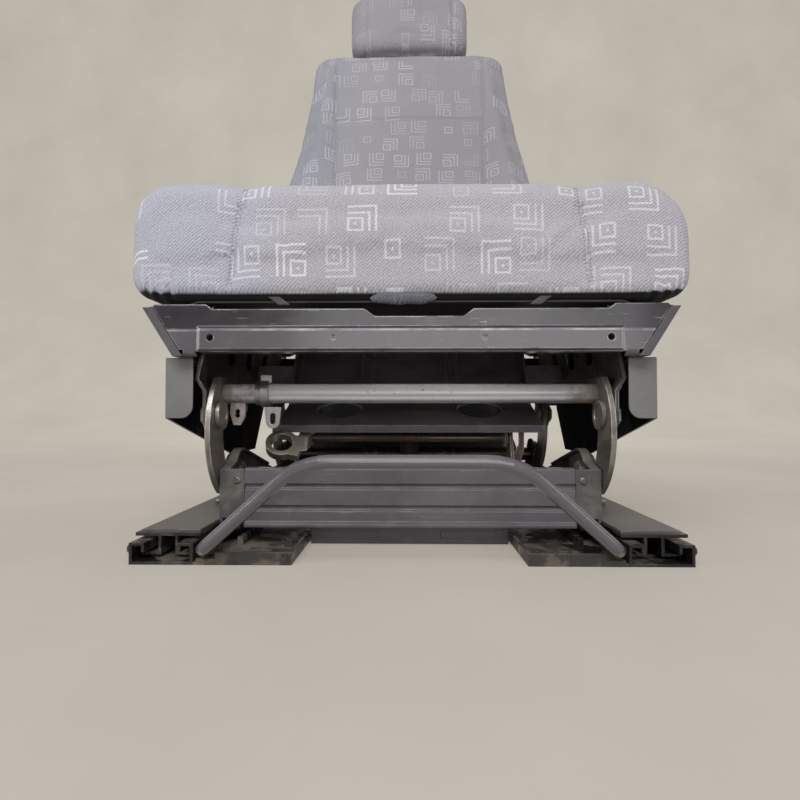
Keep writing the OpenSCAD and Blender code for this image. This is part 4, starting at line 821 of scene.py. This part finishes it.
def tucked(co):
    """Draws small folds into the two lower front corners, where the cover is pulled under."""
    x, y, z = co.T
    low = np.clip(1 - (z - SEAT_LOW.z) / 0.035, 0, 1) * np.clip(1 - (y - SEAT_LOW.y) / 0.05, 0, 1)
    for at, width, deep in ((0.238, 4, 3.0), (0.226, 3, 2.4), (0.247, 3, 2.2)):
        fold = dent(np.abs(x) - at + 0.35 * (z - SEAT_LOW.z), deep * MM, width * MM)
        co[:, 1] += fold * low
        co[:, 2] += 0.5 * fold * low
    return co


def seat_seam_paths():
    """For each side, points outside the cover along its seam, each with the direction to the
    cover: up the front, round the edge and back over the top."""
    size = SEAT_HIGH - SEAT_LOW
    paths = []
    for side in (-1, 1):
        path = []
        for i in range(60):
            z = SEAT_LOW.z + 0.012 + (size.z - 0.034) * i / 59
            place = Vector((side * seat_seam_x(z), SEAT_LOW.y - 0.05, z))
            path.append((place, Vector((0, 1, 0))))
        middle = Vector((side * SEAT_SEAM_TOP, SEAT_LOW.y + 0.03, SEAT_HIGH.z - 0.032))
        for i in range(1, 12):
            a = math.pi / 2 * i / 12
            direction = Vector((0, math.cos(a), -math.sin(a)))
            path.append((middle - direction * 0.08, direction))
        for i in range(1, 190):
            y = SEAT_LOW.y + 0.03 + (size.y - 0.06) * i / 190
            place = Vector((side * SEAT_SEAM_TOP, y, SEAT_HIGH.z + 0.05))
            path.append((place, Vector((0, 0, -1))))
        paths.append(path)
    return paths


def make_cover_tuck(material):
    """The cover's gathered bulge under the middle of the front edge, over the member's notch."""
    middle = Vector((-0.0055, SEAT_LOW.y + 5.5 * MM, SEAT_LOW.z + 0.5 * MM))
    half_width, half_depth, half_height = 0.031, 4.2 * MM, 6.0 * MM
    rings = []
    for i in range(25):
        t = -1 + 2 * i / 24
        size = max(0.08, (1 - abs(t) ** 3) ** 0.5)
        sway = 0.5 * MM * math.sin(9 * t)
        rings.append([middle + Vector((half_width * t,
                                       half_depth * size * math.cos(a) + sway * 0.4,
                                       half_height * size * math.sin(a) + sway))
                      for a in around(24)])
    add_object("cover_tuck", ring_mesh("cover_tuck", rings), material, "upper_frame")


def make_cover_straps(material):
    """Two slanted bands that hold the cover down to the pan's front edge."""
    half_width, half_thickness = 5.5 * MM, 0.7 * MM
    for side, name in ((-1, "cover_strap_right"), (1, "cover_strap_left")):
        rings = []
        for i in range(13):
            t = i / 12
            drop = (3.5 - 8.0 * t) * MM + 0.5 * MM * math.sin(math.pi * t)
            middle = Vector((side * (0.129 - 0.011 * t), SEAT_LOW.y + (7.0 + 4.5 * t) * MM,
                             SEAT_LOW.z + drop))
            rings.append([middle + Vector((half_width * power(math.cos(a), 0.3),
                                           half_thickness * power(math.sin(a), 0.6), 0))
                          for a in around(20, 0.5)])
        add_object(name, ring_mesh(name, rings), material, "upper_frame")


# ---------------------------------------------------------------- backrest and head restraint
TILT = math.radians(8)
RECLINE = Vector((0, 0.300, 0.290))
LEAN = Matrix.Translation(RECLINE) @ Matrix.Rotation(-TILT, 4, "X")

# All in the leaning frame, whose origin is on the recline axis.
BACK_HEIGHTS = (-0.060, 0.060, 0.125, 0.252, 0.352, 0.460, 0.570)
BACK_HALVES = (0.205, 0.205, 0.244, 0.246, 0.217, 0.199, 0.186)
BACK_LOW, BACK_TOP = -0.024, 0.550
BACK_FRONT = -0.0283             # front of the cushion, before its crown
BACK_DEPTH = 0.050
BACK_ROUND = 0.026
BACK_LAST_Y = 21.7 * MM          # the cover goes no further back, where the shell starts
BACK_SEAM = 0.140
BACK_CROSS_SEAMS = (0.13, 0.40)

HEAD_HALF, HEAD_DEPTH, HEAD_HEIGHT = 0.119, 0.086, 0.134
HEAD_FOOT = 0.577
HEAD_MIDDLE = 0.029              # in Y
HEAD_ROUND = 0.030
HEAD_SEAM = 0.088


def back_half(z):
    """Half width of the backrest at a height above the recline axis, along its lean."""
    return float(np.interp(z, BACK_HEIGHTS, BACK_HALVES))


def back_form():
    ends = [BACK_ROUND * (1 - math.cos(math.pi / 2 * i / 6)) for i in range(6)]
    straight = BACK_TOP - BACK_LOW - 2 * BACK_ROUND
    heights = [BACK_LOW + end for end in ends]
    heights += [BACK_LOW + BACK_ROUND + straight * i / 40 for i in range(41)]
    heights += [BACK_TOP - end for end in reversed(ends)]
    rings = []
    for z in heights:
        inset = drawn_in(min(z - BACK_LOW, BACK_TOP - z), BACK_ROUND)
        ring = []
        for a in around(120):
            x, y = power(math.cos(a), 0.38), power(math.sin(a), 0.38)
            swell = (6 * (1 - x * x) + 9 * bump_at(x, 0.82, 0.13)) * MM
            px = (back_half(z) - 5 * MM - inset - 3 * MM * (1 - y * y)) * x
            py = (BACK_DEPTH / 2 - 2 * MM - inset * 0.7) * y - (swell * -y if y < 0 else 0.0)
            ring.append(LEAN @ Vector((px, BACK_FRONT + BACK_DEPTH / 2 + py, z)))
        rings.append(ring)
    return ring_mesh("backrest_cover", rings)


def make_backrest_cushion(material, thread):
    piece = stuffed("backrest_cover", back_form(), 5 * MM, 4.0, 6 * MM)
    to_lean = LEAN.inverted()
    co = coordinates(piece.data)
    local = np.array([to_lean @ Vector(p) for p in co])
    normals = vertex_normals(piece.data)
    front = normals[:, 1] < -0.2
    seam = np.abs(np.abs(local[:, 0]) - BACK_SEAM)
    cut = dent(seam, 2.4 * MM, 3.2 * MM) + dent(seam, 3 * MM, 16 * MM)
    inside = np.abs(local[:, 0]) < BACK_SEAM
    across = sum(dent(local[:, 2] - h, 2.6 * MM, 4 * MM) for h in BACK_CROSS_SEAMS)
    depth = np.where(front, cut + across * inside, 0)
    relief = wrinkles(co, 8.0, 1.8 * MM, 7.7) + wrinkles(co, 26.0, 0.5 * MM, 2.4)
    relief *= np.where(front, 1.0, 0.3)
    co = co + normals * (relief - depth)[:, None]
    local = np.array([to_lean @ Vector(p) for p in co])
    local[:, 1] = np.minimum(local[:, 1], BACK_LAST_Y)
    set_coordinates(piece.data, [LEAN @ Vector(p) for p in local])
    finish_cushion(piece, material, "backrest", "backrest_cushion")
    inward = LEAN.to_3x3() @ Vector((0, 1, 0))
    paths = [[(LEAN @ Vector((side * BACK_SEAM, -0.15, BACK_LOW + 0.02 + 0.53 * i / 180)), inward)
              for i in range(181)] for side in (-1, 1)]
    seam_lines(piece, paths, "backrest_stitches", "backrest", thread)


def make_head_pad(material):
    rings = []
    for i in range(33):
        t = i / 32
        inset = drawn_in(min(t, 1 - t) * HEAD_HEIGHT, HEAD_ROUND)
        ring = []
        for a in around(96):
            x, y = power(math.cos(a), 0.5), power(math.sin(a), 0.5)
            swell = 5 * MM * (1 - x * x) if y < 0 else 0.0
            py = HEAD_MIDDLE + (HEAD_DEPTH / 2 - inset * 0.8) * y - swell
            ring.append(LEAN @ Vector(((HEAD_HALF - inset) * x, py, HEAD_FOOT + HEAD_HEIGHT * t)))
        rings.append(ring)
    form = ring_mesh("head_restraint_cover", rings)
    piece = stuffed("head_restraint_cover", form, 4 * MM, 3.0, 4 * MM)
    co = coordinates(piece.data)
    seam = np.abs(np.abs(co[:, 0]) - HEAD_SEAM)
    co -= vertex_normals(piece.data) * dent(seam, 2.6 * MM, 3.5 * MM)[:, None]
    set_coordinates(piece.data, co)
    finish_cushion(piece, material, "headrest", "headrest_pad")


# ---------------------------------------------------------------- dressing of the CAD nodes
def dress(material, *names):
    for name in names:
        slots = NODES[name].data.materials
        slots.clear()
        slots.append(material)


def both(*names):
    return [f"{name}_{side}" for name in names for side in ("left", "right")]


make_camera()
make_world()
for light in LIGHTS:
    make_light(*light)
make_stage()

# painted shade: near black for the inward faces of valances and side rails
INSIDE_SHADE_BLACK = (0.014, 0.012, 0.013)
# its dark top colour is painted shade under the cushion's edge; crease line and edges are painted
# highlights
cross_paint = sheet_paint("cross_member_paint", (0.064, 0.056, 0.064), (0.086, 0.076, 0.086),
                          dust=0.12, roughness=0.28, wear_and_highlight=0.85, edge=(0.52, 0.49, 0.50),
                          upper=((0.024, 0.018, 0.024), 0.2125), crease=0.2110,
                          rim=2.4 * MM, edge_spared=0.33, coat=0.5)
black = sheet_paint("black_paint", (0.070, 0.064, 0.071), (0.092, 0.085, 0.092),
                    dust=0.20, inner=INSIDE_SHADE_BLACK)
member = sheet_paint("member_paint", (0.066, 0.062, 0.070), (0.090, 0.085, 0.094),
                     dust=0.20, roughness=0.34, coat=0.35)
# painted shade: inner members and pan near black, so that the recesses read dark
shadow_black = sheet_paint("shadow_paint", (0.022, 0.020, 0.023), (0.034, 0.030, 0.034),
                         dust=0.18, roughness=0.5, wear_and_highlight=0.2)
# the lighter colour above 0.140 m is painted light on the tray's riser, which lies in shade
pan_paint = sheet_paint("pan_paint", (0.070, 0.056, 0.076), (0.118, 0.102, 0.122),
                        dust=0.42, roughness=0.42, wear_and_highlight=0.95, edge=(0.66, 0.62, 0.60),
                        upper=((0.200, 0.162, 0.205), 0.140), rim=2.0 * MM, edge_spared=0.30)
green_grey = sheet_paint("green_grey_paint", (0.146, 0.144, 0.142), (0.176, 0.173, 0.170),
                         dust=0.16, wear_and_highlight=0.4, inner=INSIDE_SHADE_BLACK)
frame_grey = sheet_paint("frame_grey_paint", (0.066, 0.064, 0.060), (0.094, 0.090, 0.085),
                         dust=0.38, wear_and_highlight=0.7, inner=(0.075, 0.064, 0.052))
bar_paint = sheet_paint("bar_paint", (0.088, 0.081, 0.090), (0.108, 0.100, 0.110),
                        dust=0.05, roughness=0.22, wear_and_highlight=0.3, coat=0.9)
arm_steel = worn_steel("arm_steel", (0.34, 0.32, 0.29), (0.115, 0.095, 0.075),
                       stain=0.62, polish=0.95, rusty=0.3)
# painted shade: darker than the arms' steel, as the hangers stand in shade
hanger_steel_shaded = worn_steel("hanger_steel_shaded", (0.13, 0.12, 0.11), (0.045, 0.037, 0.030),
                          stain=0.7, polish=0.8, rusty=0.3)
# the light second colour is dust and painted light on the shaft's top
shaft_steel = drawn_steel("shaft_steel", (0.32, 0.305, 0.32), (0.80, 0.755, 0.73),
                          (0.17, 0.13, 0.095), reach=0.168)
collar_steel = worn_steel("collar_steel", (0.34, 0.32, 0.31), (0.17, 0.145, 0.12),
                          stain=0.5, roughness=0.42, rusty=0.3)
screw_steel = worn_steel("screw_steel", (0.13, 0.13, 0.13), (0.07, 0.062, 0.052),
                         stain=0.5, polish=0.9)
dark_steel = worn_steel("dark_steel", (0.10, 0.095, 0.09), (0.055, 0.045, 0.036),
                        stain=0.6, polish=0.5)
rusty_steel = worn_steel("rusty_steel", (0.14, 0.12, 0.10), (0.075, 0.048, 0.030),
                         stain=0.9, polish=0.8, rusty=1.2)
eye_steel = worn_steel("eye_steel", (0.36, 0.32, 0.27), (0.17, 0.135, 0.10),
                       stain=0.6, polish=0.8, rusty=0.4)
chrome = worn_steel("post_steel", (0.66, 0.66, 0.67), (0.42, 0.41, 0.39),
                    stain=0.08, roughness=0.14)
rails = greasy_rail("rail_steel", (0.018, 0.016, 0.014), (0.075, 0.058, 0.043),
                    amount=0.50, slime=1.0)
sled = greasy_rail("sled_steel", (0.034, 0.029, 0.025), (0.125, 0.102, 0.080),
                   amount=0.80, slime=0.75)
plastic = moulded_plastic("black_plastic", (0.022, 0.022, 0.024))
rubber = moulded_plastic("damper_rubber", (0.020, 0.020, 0.022), grain=500.0, roughness=0.6)

dress(rails, *both("lower_rail", "latch_rack", "upper_rail"), "rail_studs")
dress(sled, *both("floor_plate"))
dress(frame_grey, *both("side_plate"))
dress(green_grey, *both("valance"))
dress(member, "lower_front_member", "floor_tie_plate")
dress(cross_paint, "upper_front_member")
dress(black, *both("side_rail", "recliner_bracket", "backrest_frame"), "backrest_bars")
dress(shadow_black, "lower_rear_member", "damper_beam", "upper_rear_member", "seat_pan")
dress(pan_paint, "spring_tray", "damper_mount")
dress(bar_paint, "towel_bar")
dress(arm_steel, *both("front_arm", "rear_arm"), "upper_pivot_bolts", "lower_pivot_bolts")
dress(hanger_steel_shaded, *both("hanger"))
dress(shaft_steel, "torque_shaft")
dress(collar_steel, "shaft_collar", "stop_link", *both("latch_pawl"))
dress(screw_steel, "frame_bolts")
dress(dark_steel, "rear_pivot_tube", "spring_anchor", *both("spring"))
dress(rusty_steel, "tray_rod")
dress(eye_steel, "eye_bracket")
dress(chrome, "headrest_posts", "damper_rod")
dress(plastic, "slide_shoes", "recline_lever", "backrest_shell", "headrest_guides")
dress(rubber, "damper_tube")

seam_thread = moulded_plastic("seam_thread", (0.30, 0.29, 0.32), grain=2500.0, roughness=0.8)
seat_material = seat_cloth("seat_cloth", dark=(0.300, 0.284, 0.312), light=(0.500, 0.477, 0.514),
                           motif=(0.80, 0.78, 0.83),
                           seam=(SEAT_SEAM_FOOT, SEAT_LOW.z, SEAT_SEAM_TOP, SEAT_HIGH.z))
back_material = seat_cloth("backrest_cloth", dark=(0.225, 0.215, 0.232),
                           light=(0.365, 0.350, 0.372), motif=(0.60, 0.58, 0.62),
                           seam=(BACK_SEAM, 0.2, BACK_SEAM, 0.9), seed=4.0, strength=0.9,
                           lined_in_shade=False)
make_seat_cushion(seat_material, seam_thread)
# the tuck's cloth is the seat cloth in darker tones: painted shade under the front edge
make_cover_tuck(seat_cloth("tuck_cloth_shaded", dark=(0.072, 0.074, 0.088), light=(0.150, 0.152, 0.176),
                           motif=(0.22, 0.22, 0.25), seed=2.0, strength=0.4, lined_in_shade=False))
make_cover_straps(moulded_plastic("strap_weave", (0.115, 0.100, 0.112), grain=1400.0,
                                  roughness=0.7))
make_backrest_cushion(back_material, seam_thread)
make_head_pad(back_material)

bpy.context.scene.view_settings.view_transform = "Standard"
